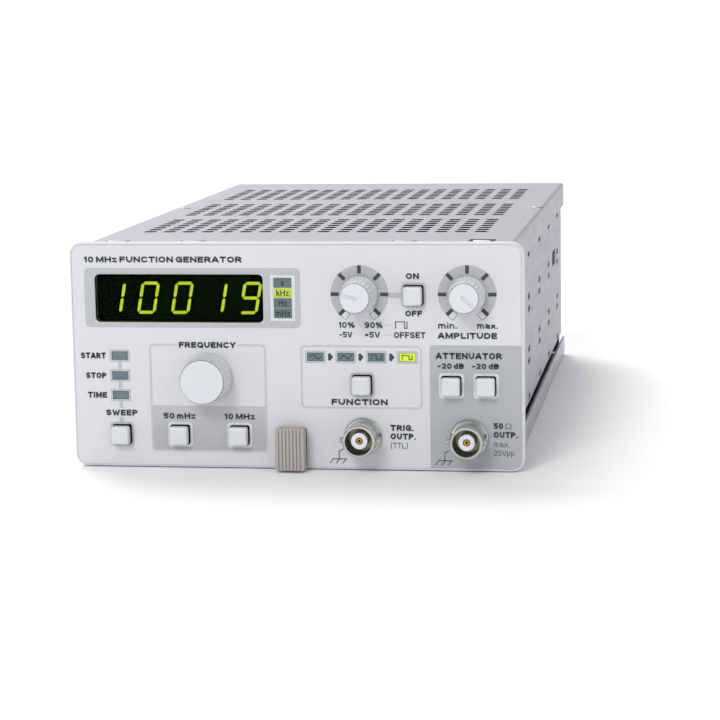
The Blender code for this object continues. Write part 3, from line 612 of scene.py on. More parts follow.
# ---- lettering ----
# Each letter has a width, in cap heights, and its strokes, whose points lie in a box one unit wide
# and one cap height high. A ~ marks a corner that is rounded.
ROUND = "0,.5 0,1~ 1,1~ 1,0~ 0,0~ 0,.5"
LETTERS = {
    " ": (0.12,),
    "A": (0.86, "0,0 .42,1 .58,1 1,0", ".2,.28 .8,.28"),
    "C": (0.80, "1,.72 1,1~ 0,1~ 0,0~ 1,0~ 1,.28"),
    "D": (0.80, "0,.5 0,1 1,1~ 1,0~ 0,0 0,.5"),
    "E": (0.66, "1,1 0,1 0,0 1,0", "0,.52 .9,.52"),
    "F": (0.64, "1,1 0,1 0,0", "0,.5 .88,.5"),
    "G": (0.82, "1,.72 1,1~ 0,1~ 0,0~ 1,0 1,.47 .58,.47"),
    "H": (0.78, "0,0 0,1", "1,0 1,1", "0,.51 1,.51"),
    "I": (0.0, "0,0 0,1"),
    "L": (0.60, "0,1 0,0 1,0"),
    "M": (0.98, "0,0 0,1", "1,0 1,1", ".07,.96 .5,.1 .93,.96"),
    "N": (0.80, "0,0 0,1", "1,0 1,1", ".06,.95 .94,.05"),
    "O": (0.88, ROUND),
    "P": (0.74, "0,0 0,1 1,1~ 1,.42~ 0,.42"),
    "Q": (0.88, ROUND, ".62,.28 1,-.04"),
    "R": (0.78, "0,0 0,1 .96,1~ .96,.45~ 0,.45", ".56,.42 1,0"),
    "S": (0.76, "1,.76 1,1~ 0,1~ 0,.54~ 1,.48~ 1,0~ 0,0~ 0,.24"),
    "T": (0.76, "0,1 1,1", ".5,1 .5,0"),
    "U": (0.80, "0,1 0,0~ 1,0~ 1,1"),
    "V": (0.82, "0,1 .43,0 .57,0 1,1"),
    "W": (1.22, "0,1 .23,0 .29,0 .5,.9 .71,0 .77,0 1,1"),
    "Y": (0.82, "0,1 .5,.44 1,1", ".5,.44 .5,0"),
    "0": (0.66, ROUND),
    "1": (0.30, "0,.74 .9,1 1,1 1,0"),
    "2": (0.66, "0,.74 0,1~ 1,1~ 1,.52~ 0,0 1,0"),
    "5": (0.66, "1,1 .04,1 .04,.58 1,.62~ 1,0~ 0,0~ 0,.2"),
    "9": (0.66, "1,.66 1,1~ 0,1~ 0,.42~ .9,.42", "1,.66 1,0~ 0,0~ 0,.2"),
    "a": (0.56, ".08,.72 1,.72~ 1,0", "1,.42 0,.42~ 0,0~ 1,0"),
    "d": (0.60, "1,1 1,0 0,0~ 0,.72~ 1,.72"),
    "B": (0.76, "0,.5 0,1 .95,1~ .95,.53~ 0,.53", ".5,.53 1,.53~ 1,0~ 0,0 0,.5"),
    "i": (0.0, "0,0 0,.72", "0,.92 0,1"),
    "k": (0.58, "0,0 0,1", ".05,.3 .92,.7", ".38,.42 1,0"),
    "m": (0.98, "0,0 0,.72 .5,.72~ .5,0", ".5,.72 1,.72~ 1,0"),
    "n": (0.56, "0,0 0,.72 1,.72~ 1,0"),
    "p": (0.60, "0,-.3 0,.72 1,.72~ 1,0~ 0,0"),
    "s": (0.50, "1,.6 1,.72~ 0,.72~ 0,.4~ 1,.33~ 1,0~ 0,0~ 0,.12"),
    "x": (0.60, "0,0 1,.72", "0,.72 1,0"),
    "z": (0.54, "0,.72 .96,.72 .04,0 1,0"),
    "%": (1.1, "0,.78 0,1~ .3,1~ .3,.54~ 0,.54~ 0,.78", ".7,.22 .7,.46~ 1,.46~ 1,0~ .7,0~ .7,.22")
    + (".24,0 .76,1",),
    "(": (0.22, "1,1.1 0,.8~ 0,.1~ 1,-.2"),
    ")": (0.22, "0,1.1 1,.8~ 1,.1~ 0,-.2"),
    "-": (0.36, "0,.44 1,.44"),
    "+": (0.52, "0,.44 1,.44", ".5,.14 .5,.74"),
    ".": (0.0, "0,0 0,.1"),
    "\N{OHM SIGN}": (0.84, "0,0 .32,0 .32,.14 0,.34~ 0,1~ 1,1~ 1,.34~ .68,.14 .68,0 1,0"),
}
LETTER_GAP = 0.15
CORNER = 0.42
# Widths of the strokes, in cap heights.
HEAVY, FIRM, MIDDLING, MEDIUM, SLIM, PLAIN = 0.29, 0.25, 0.24, 0.23, 0.17, 0.14


def stroke_points(text):
    points = []
    for word in text.split():
        x, y = word.rstrip("~").split(",")
        points.append((float(x), float(y), word.endswith("~")))
    return points


def full_end(end, before):
    """Whether a stroke's end reaches past its last point: at the foot and head of a letter, and on bars."""
    return end[1] <= 0 or end[1] >= 1 or end[1] == before[1]


def label(shape, text, left, right, low, high, weight=HEAVY, level=TEXT_LEVEL):
    """Adds a label whose capitals stand between two heights and whose width is fitted to its place."""
    height = high - low
    thick = weight * height
    inked = sum(character != " " for character in text)
    natural = sum(LETTERS[character][0] for character in text) + LETTER_GAP * (len(text) - 1)
    stretch = (right - left - thick * inked) / natural
    x = left
    for character in text:
        width, *strokes = LETTERS[character]
        for stroke in strokes:
            points = stroke_points(stroke)
            path = [
                (x + thick / 2 + px * width * stretch, low + thick / 2 + py * (height - thick), soft)
                for px, py, soft in points
            ]
            caps = (full_end(points[0], points[1]), full_end(points[-1], points[-2]))
            ribbon(shape, rounded_path(path, CORNER * height), thick, level, caps)
        x += (width + LETTER_GAP) * stretch + (thick if character != " " else 0.0)


# Each label is (text, left, right, foot, head), and its weight where it isn't heavy.
LABEL_GROUPS = {
    "title_text": [("10 MHz FUNCTION GENERATOR", -63.2, -15.3, 61.4, 63.2)],
    "sweep_text": [
        ("START", -65.0, -57.3, 32.6, 34.4),
        ("STOP", -63.6, -57.3, 26.6, 28.4),
        ("TIME", -63.2, -57.3, 20.7, 22.5),
        ("SWEEP", -57.8, -48.1, 15.4, 17.2),
    ],
    "frequency_text": [
        ("FREQUENCY", -34.9, -17.7, 36.0, 37.8),
        ("50 mHz", -40.2, -30.4, 14.6, 16.4),
        ("10 MHz", -21.8, -12.4, 14.6, 16.4),
    ],
    "function_text": [("FUNCTION", 10.7, 27.4, 19.3, 21.15)],
    "offset_text": [
        ("ON", 33.2, 37.1, 56.65, 58.4),
        ("OFF", 32.9, 37.9, 45.7, 47.4),
        ("10%", 13.1, 18.0, 42.2, 44.0, MEDIUM),
        ("90%", 20.9, 26.2, 42.2, 44.0, MEDIUM),
        ("-5V", 13.4, 17.2, 39.4, 41.1, MEDIUM),
        ("+5V", 20.9, 25.4, 39.4, 41.1, MEDIUM),
        ("OFFSET", 29.5, 38.8, 39.3, 41.1, MEDIUM),
    ],
    "amplitude_text": [
        ("min.", 42.5, 48.1, 42.2, 44.0, FIRM),
        ("max.", 53.9, 60.0, 42.2, 44.0, MIDDLING),
        ("AMPLITUDE", 42.4, 59.7, 39.2, 41.0),
    ],
    "attenuator_text": [
        ("ATTENUATOR", 41.7, 61.1, 33.2, 35.1),
        ("-20 dB", 42.2, 50.0, 30.3, 32.0),
        ("-20 dB", 52.3, 60.2, 30.3, 32.0),
    ],
    "trigger_text": [("TRIG.", 28.1, 35.0, 11.75, 13.55), ("OUTP.", 28.1, 35.65, 9.2, 11.0)],
    "output_text": [("50", 58.5, 61.3, 12.65, 14.45), ("OUTP.", 58.5, 65.6, 10.05, 11.85)],
    "socket_notes": [
        ("(TTL)", 28.1, 33.2, 6.5, 8.2, PLAIN),
        ("\N{OHM SIGN}", 61.9, 63.8, 12.65, 14.4, PLAIN),
        ("max.", 58.5, 63.1, 7.3, 9.0, PLAIN),
        ("20Vpp", 58.5, 64.5, 4.7, 6.4, PLAIN),
    ],
}


def lettering():
    for name, labels in LABEL_GROUPS.items():
        shape = bmesh.new()
        for place in labels:
            label(shape, *place)
        piece(name, shape, THIN_INK if name == "socket_notes" else TEXT_INK)


def symbols():
    """Chassis signs by the sockets, the pulse sign, the dashes and the arrows between the waveform lamps."""
    ground = []
    for centre in SOCKETS.values():
        x, bar = centre[0] - 9.1, centre[1] - 6.95
        ground += [[(x + 3.0, bar + 2.95), (x + 1.8, bar + 2.25), (x + 1.8, bar)], [(x, bar), (x + 3.9, bar)]]
        ground += [[(x + step, bar), (x + step - 1.0, bar - 1.25)] for step in (0.05, 1.95, 3.85)]
    lines_on_panel("chassis_signs", ground, 0.26, TEXT_LEVEL, TEXT_INK)

    low, high = 42.2, 44.1
    pulse = [(30.0, low), (30.0, high), (32.7, high), (32.7, low), (33.4, low), (33.4, high)]
    lines_on_panel("pulse_sign", [pulse], 0.28, TEXT_LEVEL, TEXT_INK)
    dashes = [[rectangle(26.8, 28.9, height - 0.16, height + 0.16)] for height in (43.1, 40.2)]
    print_on_panel("offset_dashes", dashes, TEXT_LEVEL, LINE_GREY)

    arrows = []
    for first, second in zip(WAVE_LAMPS, WAVE_LAMPS[1:]):
        x = (node_centre(first)[0] + node_centre(second)[0]) / 2
        height = node_centre(first)[1]
        tip, back, half = x + 0.8, x - 0.75, 1.2
        shoulder = [(x - 0.15, height - half), (tip, height), (x - 0.15, height + half)]
        arrows.append([[(back, height - half * 0.8), *shoulder, (back, height + half * 0.8)]])
    print_on_panel("waveform_arrows", arrows, TEXT_LEVEL, TEXT_INK)


def waveform_signs():
    """The waveforms drawn on their lamps."""
    waves = {
        "led_sine": [(t / 12 * 3.4 - 1.7, 0.62 * math.sin(2 * math.pi * t / 12)) for t in range(13)],
        "led_triangle": [(-1.6, -0.6), (-0.7, 0.6), (0.7, -0.6), (1.6, 0.6)],
        "led_square": [(-1.5, -0.6), (-1.5, 0.6), (0.0, 0.6), (0.0, -0.6), (1.5, -0.6), (1.5, 0.6)],
        "led_pulse": [(-1.5, -0.6), (-1.5, 0.6), (0.5, 0.6), (0.5, -0.6), (1.4, -0.6), (1.4, 0.6)],
    }
    for lamp, line in waves.items():
        x, height = node_centre(lamp)
        path = [(x + dx, height + dy) for dx, dy in line]
        lines_on_panel(f"{lamp}_sign", [path], 0.26, LINE_LEVEL, WAVE_INK)


# ---- display ----
# Segments lit for each figure, in the order top, upper right, lower right, bottom, lower left,
# upper left, middle.
FIGURES = {"0": (1, 1, 1, 1, 1, 1, 0), "1": (0, 1, 1, 0, 0, 0, 0), "9": (1, 1, 1, 1, 0, 1, 1)}
READING = "10019"
DIGIT_PITCH = 10.3
DIGIT_WIDTH, DIGIT_HEIGHT, SEGMENT, SEGMENT_GAP = 5.6, 9.65, 0.9, 0.12
SLANT = math.tan(math.radians(10.6))


DIGIT_DROP, DIGIT_SHIFT = 0.1, 0.65  # of the row, from the middle of the display module


def segment(start, end):
    """A bar with pointed ends between two points."""
    start, end = Vector(start), Vector(end)
    along = (end - start).normalized()
    start, end = start + along * SEGMENT_GAP, end - along * SEGMENT_GAP
    half = along * SEGMENT / 2
    side = Vector((-half.y, half.x))
    return [start, start + half + side, end - half + side, end, end - half - side, start + half - side]


def digits():
    """The five figures on the face of the display module, lit and unlit segments apart."""
    middle_x, middle_z = node_centre("display_module")
    middle_z -= DIGIT_DROP
    level = reach_of("display_module") + 0.08
    half_w, half_h = (DIGIT_WIDTH - SEGMENT) / 2, (DIGIT_HEIGHT - SEGMENT) / 2
    rows, columns = {"t": half_h, "m": 0.0, "b": -half_h}, {"l": -half_w, "r": half_w}
    corners = {row + column: (columns[column], rows[row]) for row in rows for column in columns}
    ends = ("tl tr", "tr mr", "mr br", "bl br", "bl ml", "ml tl", "ml mr")
    lit, unlit = [], []
    for number, figure in enumerate(READING):
        centre_x = middle_x + (number - (len(READING) - 1) / 2) * DIGIT_PITCH + DIGIT_SHIFT
        for on, pair in zip(FIGURES[figure], ends):
            outline = segment(*(corners[corner] for corner in pair.split()))
            slanted = [(centre_x + x + y * SLANT, middle_z + y) for x, y in outline]
            (lit if on else unlit).append([slanted])
        dot = (centre_x + half_w + 1.5 - half_h * SLANT, middle_z - half_h)
        unlit.append([arc(dot, 0.55, 0, 340, 17)])
    print_on_panel("lit_segments", lit, level, DIGIT_ON)
    print_on_panel("unlit_segments", unlit, level, DIGIT_OFF)


UNIT_SIGNS = {"s": 1.0, "kHz": 3.8, "Hz": 2.6, "mHz": 4.3}  # with the width of each
LIT_UNIT = "kHz"


def unit_block():
    """Four unit fields in the indicator block, with the lit one second from the top, and a pale border."""
    margin_x, margin_z, step_gap, half_height = 0.65, 0.45, 0.04, 0.88
    left, right, bottom, top = node_sides("unit_indicator")
    left, right, bottom, top = left + margin_x, right - margin_x, bottom + margin_z, top - margin_z
    step = (top - bottom) / len(UNIT_SIGNS)
    level = reach_of("unit_indicator") + 0.02
    ink = printed("unit_ink", (30, 40, 40))
    off, text = [], bmesh.new()
    for number, (sign, width) in enumerate(UNIT_SIGNS.items()):
        high_z = top - number * step
        field = rectangle(left, right, high_z - step + step_gap, high_z - step_gap)
        if sign == LIT_UNIT:
            print_on_panel("unit_lit", [[field]], level, UNIT_ON)
        else:
            off.append([field])
        middle_x, middle_z = (left + right) / 2, high_z - step / 2
        sides = (middle_x - width / 2, middle_x + width / 2)
        label(text, sign, *sides, middle_z - half_height, middle_z + half_height, SLIM, level + 0.03)
    print_on_panel("unit_fields", off, level, UNIT_OFF)
    piece("unit_signs", text, ink)
    border = [node_rectangle("unit_indicator", 0.3), node_rectangle("unit_indicator", -0.3)]
    print_on_panel("unit_border", [border], max(level, FIELD_LEVEL) + 0.02, PALE_BORDER)


# ---- knobs ----
FLUTES, STEPS_PER_FLUTE = 22, 8


def fluted_knob(centre, rings):
    """A turned knob whose side is cut into shallow flutes.

    Each ring is (radius, distance in front of the panel, depth of the flutes), in mm.
    """
    shape = bmesh.new()
    loops = []
    for radius, forward, flute in rings:
        loop = []
        for step, (up, across) in enumerate(turns(FLUTES * STEPS_PER_FLUTE)):
            wave = 0.5 - 0.5 * math.cos(2 * math.pi * step / STEPS_PER_FLUTE)
            size = radius - flute * wave**2
            place = on_panel(centre[0] + size * across, centre[1] + size * up, forward)
            loop.append(shape.verts.new(place))
        loops.append(loop)
    skin(shape, loops, capped=True)
    face_outward(shape)
    return shape


def knob_rings(base, front, reach, flute):
    """Profile from the rear rim to the face: foot, skirt, fluted side, a groove and the edge of the face."""
    return [
        (base - 0.5, 0.62, 0.0),
        (base - 0.12, 0.64, 0.0),
        (base, 0.85, 0.0),
        (base - 0.02, 1.5, 0.0),
        (base - 0.12, 1.75, flute * 0.6),
        (base + (front - base) * 0.35, 3.4, flute),
        (base + (front - base) * 0.8, reach - 2.0, flute),
        (front + 0.06, reach - 1.0, flute * 0.4),
        (front + 0.02, reach - 0.75, flute * 0.2),
        (front - 0.05, reach - 0.66, 0.0),
        (front - 0.13, reach - 0.66, 0.0),
        (front - 0.13, reach - 1.25, 0.0),
        (front - 0.33, reach - 1.25, 0.0),
        (front - 0.33, reach - 0.14, 0.0),
        (front - 0.44, reach, 0.0),
    ]


SMALL_KNOB = (5.45, 4.55, 9.95, 0.34)
KNOB_SIZES = {"frequency": (7.25, 6.75, 9.5, 0.26), "offset": SMALL_KNOB, "amplitude": SMALL_KNOB}
INDEX_ANGLES = {"offset": -74.5, "amplitude": 131.0}  # degrees clockwise from the top


def knobs():
    """The three knobs. A size is (radius at the foot, radius of the face, reach, depth of the flutes)."""
    for name, (base, front, reach, flute) in KNOB_SIZES.items():
        shape = fluted_knob(KNOBS[name], knob_rings(base, front, reach, flute))
        knob = piece(f"{name}_knob_body", shape, KNOB_PLASTIC, body=f"{name}_knob_body")
        if name in INDEX_ANGLES:
            cut_index(knob, KNOBS[name], front, reach, INDEX_ANGLES[name])
        smoothed(knob.data, 50)
        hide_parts(f"{name}_knob")


def cut_index(knob, centre, front, reach, angle):
    """Sinks the index groove, a round-ended slot from past the middle out to the rim."""
    inner, outer, half_width, depth = 0.9, front + 0.6, 0.5, 0.45
    points = arc((0.0, -inner + half_width), half_width, 90, 270, 8)
    points += [(-half_width, outer), (half_width, outer)]
    shape = bmesh.new()
    turned_about = Matrix.Rotation(math.radians(-angle), 4, "Z")
    place = Matrix.Translation((centre[0], centre[1], 0.0))
    add_mesh(shape, filled([points], 2 * depth), lying_on_panel(reach) @ place @ turned_about)
    bmesh.ops.remove_doubles(shape, verts=shape.verts, dist=1e-7)
    face_outward(shape)
    tool = add_object("index_tool", mesh_of(shape, "index_tool"))
    cut = knob.modifiers.new("index", "BOOLEAN")
    cut.operation = "DIFFERENCE"
    cut.object = tool
    mesh = evaluated_mesh(knob)
    knob.modifiers.clear()
    knob.data = mesh
    bpy.data.objects.remove(tool, do_unlink=True)


# ---- top cover ----
SLITS_IN_BAND, SLIT_PITCH, SLIT, SLIT_CORNER = 7, 6.4, 3.8, 0.9
COLUMNS, COLUMN_PITCH, COLUMN_SHIFT = 18, 6.1, -0.7
BANDS = (59.4, 116.0, 177.8)  # depth of the middle of each band behind the panel's face
SHEET, BEND, BEND_STEPS = 0.8, 1.0, 5


def vent_slits():
    slits = []
    for band in BANDS:
        for column in range(COLUMNS):
            x = COLUMN_SHIFT + (column - (COLUMNS - 1) / 2) * COLUMN_PITCH
            for row in range(SLITS_IN_BAND):
                y = band + (row - (SLITS_IN_BAND - 1) / 2) * SLIT_PITCH
                sides = (x - SLIT / 2, x + SLIT / 2, y - SLIT / 2, y + SLIT / 2)
                slits.append(rectangle(*sides, SLIT_CORNER, 2))
    return slits


def top_cover():
    """The cover with every vent slit, folded down at both long edges."""
    low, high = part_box("top_cover")
    half_width = high.x / MM
    front, back = (low.y - FACE_Y) / MM, (high.y - FACE_Y) / MM
    top, lip = high.z / MM, (high.z - low.z) / MM
    flat = half_width - BEND
    shape = bmesh.new()
    to_world = Matrix.Translation((0.0, FACE_Y, 0.0)) @ TO_METRES
    plate = filled([rectangle(-flat, flat, front, back)] + vent_slits(), SHEET)
    add_mesh(shape, plate, to_world @ Matrix.Translation((0.0, 0.0, top - SHEET / 2)))
    stand = Matrix.Translation((0.0, (front + back) / 2, 0.0)) @ UPRIGHT
    for side in (-1, 1):
        inner, outer = [], []
        for step in range(BEND_STEPS + 1):
            angle = math.pi / 2 * step / BEND_STEPS
            for points, radius in ((outer, BEND), (inner, BEND - SHEET)):
                out, up = radius * math.sin(angle), radius * math.cos(angle)
                points.append((side * (flat + out), top - BEND + up))
        outer.append((side * half_width, top - lip))
        inner.append((side * (half_width - SHEET), top - lip))
        add_mesh(shape, filled([outer + inner[::-1]], back - front), to_world @ stand)
    bmesh.ops.remove_doubles(shape, verts=shape.verts, dist=1e-6)
    face_outward(shape)
    # The walls of the vent slits take the near-black second material: painted shade inside the slits.
    reach, near, far = (flat - 1.0) * MM, FACE_Y + (front + 1.0) * MM, FACE_Y + (back - 1.0) * MM
    for face in shape.faces:
        middle = face.calc_center_median()
        if abs(middle.x) < reach and near < middle.y < far and abs(face.normal.z) < 0.5:
            face.material_index = 1
    cover = piece("vented_top_cover", shape, COVER_METAL, 40)
    cover.data.materials.append(SHADE_BLACK.material)
    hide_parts("top_cover")
    cover_details(top, front, half_width)


HOOKS, BRIGHT_HOOK, HOOK_SETBACK = (-55.8, -32.6, 31.2), 54.2, 7.0
PIP_DEPTH, PIP_INSET, PIP_TO_HOLE = 122.0, 2.9, 1.9


def cover_details(top, front, half_width):
    """Hooks pressed out of the cover's front edge, and the pips near its long edges, each beside its hole.
    The dark blocks behind the hooks and the dark discs for the holes are painted shade; the one bright hook
    and the pips are painted highlight.
    """
    y = FACE_Y / MM + front + HOOK_SETBACK
    low, high, shade_top = top - 0.1, top + 0.25, top + 0.04
    hooks, shades = bmesh.new(), bmesh.new()
    for x in HOOKS:
        block(hooks, (x - 2.9, y, low), (x + 2.9, y + 2.4, high), 0.2)
        # A dark block of painted shade in the gap behind the hook.
        block(shades, (x - 3.6, y + 0.2, low), (x + 3.8, y + 2.3, shade_top), 0.02)
    piece("cover_hooks", hooks, COVER_METAL, 40)
    # This hook is painted lighter than the cover, as a highlight.
    bright, x = bmesh.new(), BRIGHT_HOOK
    block(bright, (x - 2.5, y, low), (x + 2.5, y + 2.0, high), 0.2)
    piece("bright_cover_hook", bright, HIGHLIGHT_METAL, 40)
    # A dark block of painted shade behind the bright hook.
    block(shades, (x - 3.9, y + 0.2, low), (x + 3.9, y + 6.6, shade_top), 0.02)
    piece("painted_hook_gap_shade", shades, SHADE_BLACK)
    pips, hole_shades = bmesh.new(), bmesh.new()
    for side in (-1, 1):
        place = Vector((side * (half_width - PIP_INSET) * MM, FACE_Y + PIP_DEPTH * MM, top * MM))
        # Each pip is painted lighter than the cover, as a highlight.
        dome(pips, place, 0.9, 0.45)
        # A flat dark disc of painted shade stands for the hole beside the pip.
        dome(hole_shades, place + Vector((PIP_TO_HOLE, 0.0, 0.0)) * MM, 1.1, 0.03)
    piece("cover_pips", pips, HIGHLIGHT_METAL, 60)
    piece("cover_pip_hole_shades", hole_shades, SHADE_BLACK, 60)


def block(shape, low, high, chamfer):
    """A box in mm with chamfered upright edges and top."""
    (x0, y0, z0), (x1, y1, z1) = low, high
    loops = []
    for z, inset in ((z0, 0.0), (z1 - chamfer, 0.0), (z1, chamfer)):
        corners = rectangle(x0 + inset, x1 - inset, y0 + inset, y1 - inset, chamfer, 2)
        loops.append([shape.verts.new(Vector((x * MM, y * MM, z * MM))) for x, y in corners])
    skin(shape, loops, capped=True)


def dome(shape, place, radius, height, steps=5, sides=20):
    """A low round bump, in mm, that stands up from a place."""
    loops = []
    for step in range(steps):
        angle = math.pi / 2 * step / steps
        size, up = radius * math.cos(angle), height * math.sin(angle)
        ring = [Vector((size * x, size * y, up)) * MM + place for x, y in turns(sides)]
        loops.append([shape.verts.new(point) for point in ring])
    skin(shape, loops, capped=True)


def screw_head(shape, place, radius, height):
    """A round-edged cross-recess screw head, in mm, that faces the rear."""
    head = bmesh.new()
    rings = ((radius, 0.0), (radius, height * 0.5), (radius * 0.86, height * 0.85), (radius * 0.6, height))
    loops = []
    for size, up in rings:
        loops.append([head.verts.new((size * x, size * y, up)) for x, y in turns(24)])
    skin(head, loops)
    arm, slot = radius * 0.5, radius * 0.13
    cross = [(arm, -slot), (arm, slot), (slot, slot), (slot, arm), (-slot, arm), (-slot, slot)]
    cross += [(-x, -y) for x, y in cross]
    top_ring = loops[-1]
    rim = [head.verts.new((x, y, height)) for x, y in cross]
    recess = [head.verts.new((x * 0.8, y * 0.8, height * 0.35)) for x, y in cross]
    edges = [head.edges.new((a, b)) for a, b in zip(rim, rim[1:] + rim[:1])]
    edges += [head.edges.get((a, b)) for a, b in zip(top_ring, top_ring[1:] + top_ring[:1])]
    bmesh.ops.triangle_fill(head, use_beauty=True, edges=edges)
    skin(head, [rim, recess])
    head.faces.new(recess)
    face_outward(head)
    turn = Vector((0.0, 0.0, 1.0)).rotation_difference(Vector((0.0, 1.0, 0.0))).to_matrix().to_4x4()
    add_mesh(shape, mesh_of(head, "head"), Matrix.Translation(place) @ turn @ TO_METRES)


def screws():
    """Screw heads on the rear panel."""
    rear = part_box("rear_panel")[1].y
    shape = bmesh.new()
    for side in (-1, 1):
        for height in (13.0, 58.0):
            screw_head(shape, Vector((side * 55.5 * MM, rear, height * MM)), 2.6, 0.7)
    piece("rear_screws", shape, ZINC, 30)


# ---- boards ----
FINGERS, FINGER_PITCH, FINGER_WIDTH = 11, 5.08, 2.8


def edge_plug():
    """Gold fingers on both faces of the main board's tongue."""
    low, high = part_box("main_board")
    tip, half = high.y / MM, FINGER_WIDTH / 2
    shape = bmesh.new()
    for face_z in (high.z + 0.02 * MM, low.z - 0.02 * MM):
        flip = Matrix.Identity(4) if face_z > high.z else Matrix.Diagonal((-1.0, 1.0, -1.0, 1.0))
        for number in range(FINGERS):
            x = (number - (FINGERS - 1) / 2) * FINGER_PITCH
            finger = filled([rectangle(x - half, x + half, tip - 8.6, tip - 0.9, 0.3, 3)])
            add_mesh(shape, finger, Matrix.Translation((0.0, 0.0, face_z)) @ flip @ TO_METRES)
    piece("edge_fingers", shape, GOLD)


CAN_PROFILE = ((5.0, 0.0), (5.0, 1.6), (4.6, 2.0), (5.0, 2.4), (5.0, 19.4), (4.5, 20.0))


def board_parts():
    """Chips and capacitors that show dimly through the vents."""
    low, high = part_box("main_board")
    top, front = high.z / MM + 0.05, low.y / MM
    chips = bmesh.new()
    for row in range(4):
        for column in range(4):
            x, y = -44 + column * 17.0, front + 28 + row * 32
            block(chips, (x, y, top), (x + 7, y + 16, top + 3.4), 0.4)
    piece("board_chips", chips, BLACK_PLASTIC)
    cans = bmesh.new()
    for number in range(5):
        x, y = (-48 + number * 13.0) * MM, (front + 168) * MM
        loops = []
        for radius, height in CAN_PROFILE:
            size, z = radius * MM, (top + height) * MM
            loops.append([cans.verts.new((x + size * dx, y + size * dy, z)) for dx, dy in turns(24)])
        skin(cans, loops, capped=True)
    piece("board_capacitors", cans, moulded("capacitor_sleeve", (30, 34, 60), 0.35), 40)


# ---- CAD nodes' materials ----
def look_of(node, surface):
    """Gives a CAD node its material."""
    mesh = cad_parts[node].data
    mesh.materials.clear()
    mesh.materials.append(surface.material)
    for polygon in mesh.polygons:
        polygon.material_index = 0


def cad_looks():
    shafts = [f"{name}_shaft" for name in KNOBS]
    controls = ["frequency_encoder", "offset_potentiometer", "amplitude_potentiometer", "latch_guide"]
    looks = {
        PANEL_SKIN: ["front_panel", "unit_indicator"],
        WINDOW: ["display_window"],
        DISPLAY_FACE: ["display_module"],
        LAMP_OFF: [*SWEEP_LAMPS, *WAVE_LAMPS[:3]],
        LAMP_ON: [WAVE_LAMPS[3]],
        KEY_PLASTIC: [f"{name}_key" for name in KEYS],
        BLACK_PLASTIC: [f"{name}_{kind}" for name in KEYS for kind in ("plunger", "switch")] + controls,
        GRIP_PLASTIC: ["latch_grip"],
        WALL_SHADED_METAL: ["left_side_wall", "right_side_wall"],
        ZINC: ["bottom_tray", "rear_panel", "latch_bar", "latch_spring"] + shafts,
        INNER_DARK: ["front_frame"],
        ALUMINIUM: ["heat_sink"],
        BOARD: ["main_board", "front_board"],
        PTFE: [f"{name}_socket_insulator" for name in SOCKETS],
        NICKEL: [f"{name}_socket_shell" for name in SOCKETS],
        GOLD: [f"{name}_socket_contact" for name in SOCKETS],
    }
    for surface, nodes in looks.items():
        for node in nodes:
            look_of(node, surface)
    for node in looks[NICKEL]:
        smoothed(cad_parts[node].data, 35)


def tube(shape, centre, profile, sides=40):
    """Adds a surface turned round an axis through the panel. The profile is (radius, reach), in mm."""
    loops = []
    for radius, reach in profile:
        ring = [(centre[0] + radius * across, centre[1] + radius * up) for up, across in turns(sides)]
        loops.append([shape.verts.new(on_panel(*point, reach)) for point in ring])
    skin(shape, loops)


def socket_details():
    """A darker, yellower lining in each socket's bore, painted shade and dark reflection, and a dark disc of
    painted shade for the hole in its centre contact.
    """
    mouth = reach_of("trigger_socket_shell")
    for name, centre in SOCKETS.items():
        bore = bmesh.new()
        tube(bore, centre, [(4.04, mouth - 0.35), (4.0, mouth - 0.8), (4.0, 3.0), (3.9, 2.4), (2.45, 2.4)])
        face_outward(bore)
        piece(f"{name}_socket_bore", bore, BORE_SHADE_METAL, 40)
        # A flat dark disc of painted shade for the hole in the contact.
        hole = bmesh.new()
        front = reach_of(f"{name}_socket_contact")
        tube(hole, centre, [(0.42, front + 0.02), (0.34, front + 0.03), (0.02, front + 0.03)], 20)
        piece(f"{name}_socket_contact_hole", hole, CONTACT_SHADE)


# ---- room ----
FLOOR_RADII = (11.5, 10.0, 8.5, 7.0, 5.5, 4.0, 2.5, 1.0)
FLOOR_RISE_START, FLOOR_RISE = 2.5, 0.025
WORLD_COLOUR, WORLD_STRENGTH = (0.97, 0.98, 1.0, 1.0), 0.55
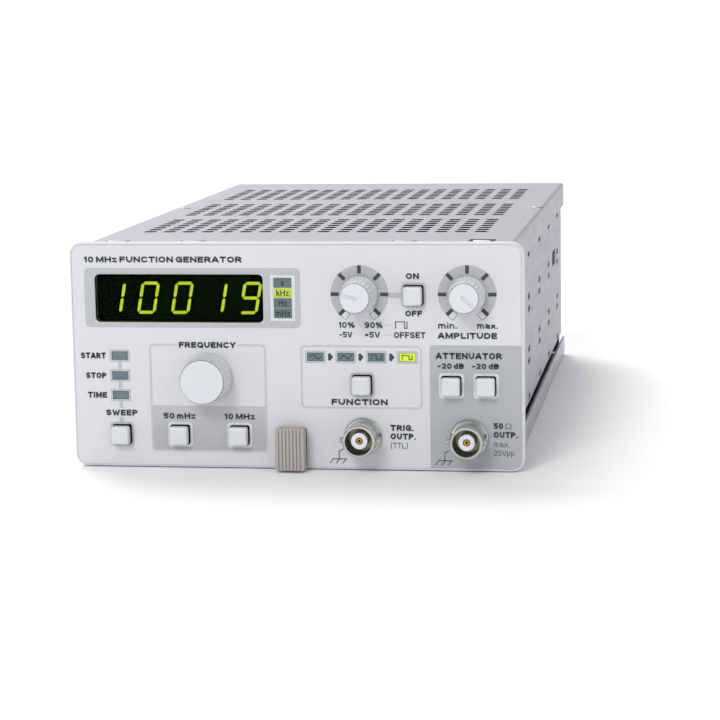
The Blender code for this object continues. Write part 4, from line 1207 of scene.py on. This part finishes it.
# Each light's name, the way it shines, its strength and the angle that it spreads over.
SUNS = (
    ("key_light", (0.25, 1.0, -0.75), 1.22, 22.0),
    ("right_fill", (-0.9, 0.5, -0.45), 0.36, 60.0),
    ("rear_light", (0.5, -0.8, -1.1), 2.0, 40.0),
)
CAMERA_PLACE, CAMERA_TURN = (0.1211, -0.76333, 0.13582), (81.122, 0.9223, 8.7502)
FOCAL_LENGTH, SENSOR_WIDTH = 113.618, 36.0


def floor():
    """A wide pale floor whose far rim rises gently behind the object on every side."""
    shape = bmesh.new()
    bmesh.ops.create_circle(shape, cap_ends=False, segments=64, radius=FLOOR_RADII[0])
    rim = list(shape.verts)
    loops = [rim]
    for radius in FLOOR_RADII[1:]:
        loops.append([shape.verts.new(vertex.co.normalized() * radius) for vertex in rim])
    skin(shape, loops)
    shape.faces.new(loops[-1])
    for vertex in shape.verts:
        vertex.co.z = FLOOR_RISE * max(0.0, vertex.co.xy.length - FLOOR_RISE_START) ** 2
    mesh = mesh_of(shape, "studio_floor")
    mesh.shade_smooth()
    paper = Surface("floor_paper", Roughness=0.9)
    paper.feed(paper.shades(paper.noise(0.01), (255, 255, 255), 0.88, 0.90), "Base Color")
    mesh.materials.append(paper.material)
    add_object("studio_floor", mesh)


def studio():
    floor()
    world = bpy.data.worlds.new("studio")
    world.use_nodes = True
    background = world.node_tree.nodes["Background"].inputs
    background["Color"].default_value = WORLD_COLOUR
    background["Strength"].default_value = WORLD_STRENGTH
    bpy.context.scene.world = world
    bpy.context.scene.view_settings.view_transform = "Standard"
    for name, direction, strength, spread in SUNS:
        light = bpy.data.lights.new(name, "SUN")
        light.energy = strength
        light.angle = math.radians(spread)
        add_object(name, light).rotation_euler = Vector(direction).to_track_quat("-Z", "Y").to_euler()


def camera():
    lens = bpy.data.cameras.new("camera")
    lens.lens = FOCAL_LENGTH
    lens.sensor_width = SENSOR_WIDTH
    lens.clip_start, lens.clip_end = 0.05, 100.0
    obj = add_object("camera", lens)
    obj.location = CAMERA_PLACE
    obj.rotation_euler = Euler([math.radians(angle) for angle in CAMERA_TURN], "XYZ")
    bpy.context.scene.camera = obj


STEPS = (
    cad_looks, fields, outlines, key_surrounds, dials, lettering, symbols, waveform_signs, digits, unit_block,
    knobs, socket_details, top_cover, screws, edge_plug, board_parts, studio, camera,
)
for make in STEPS:
    make()
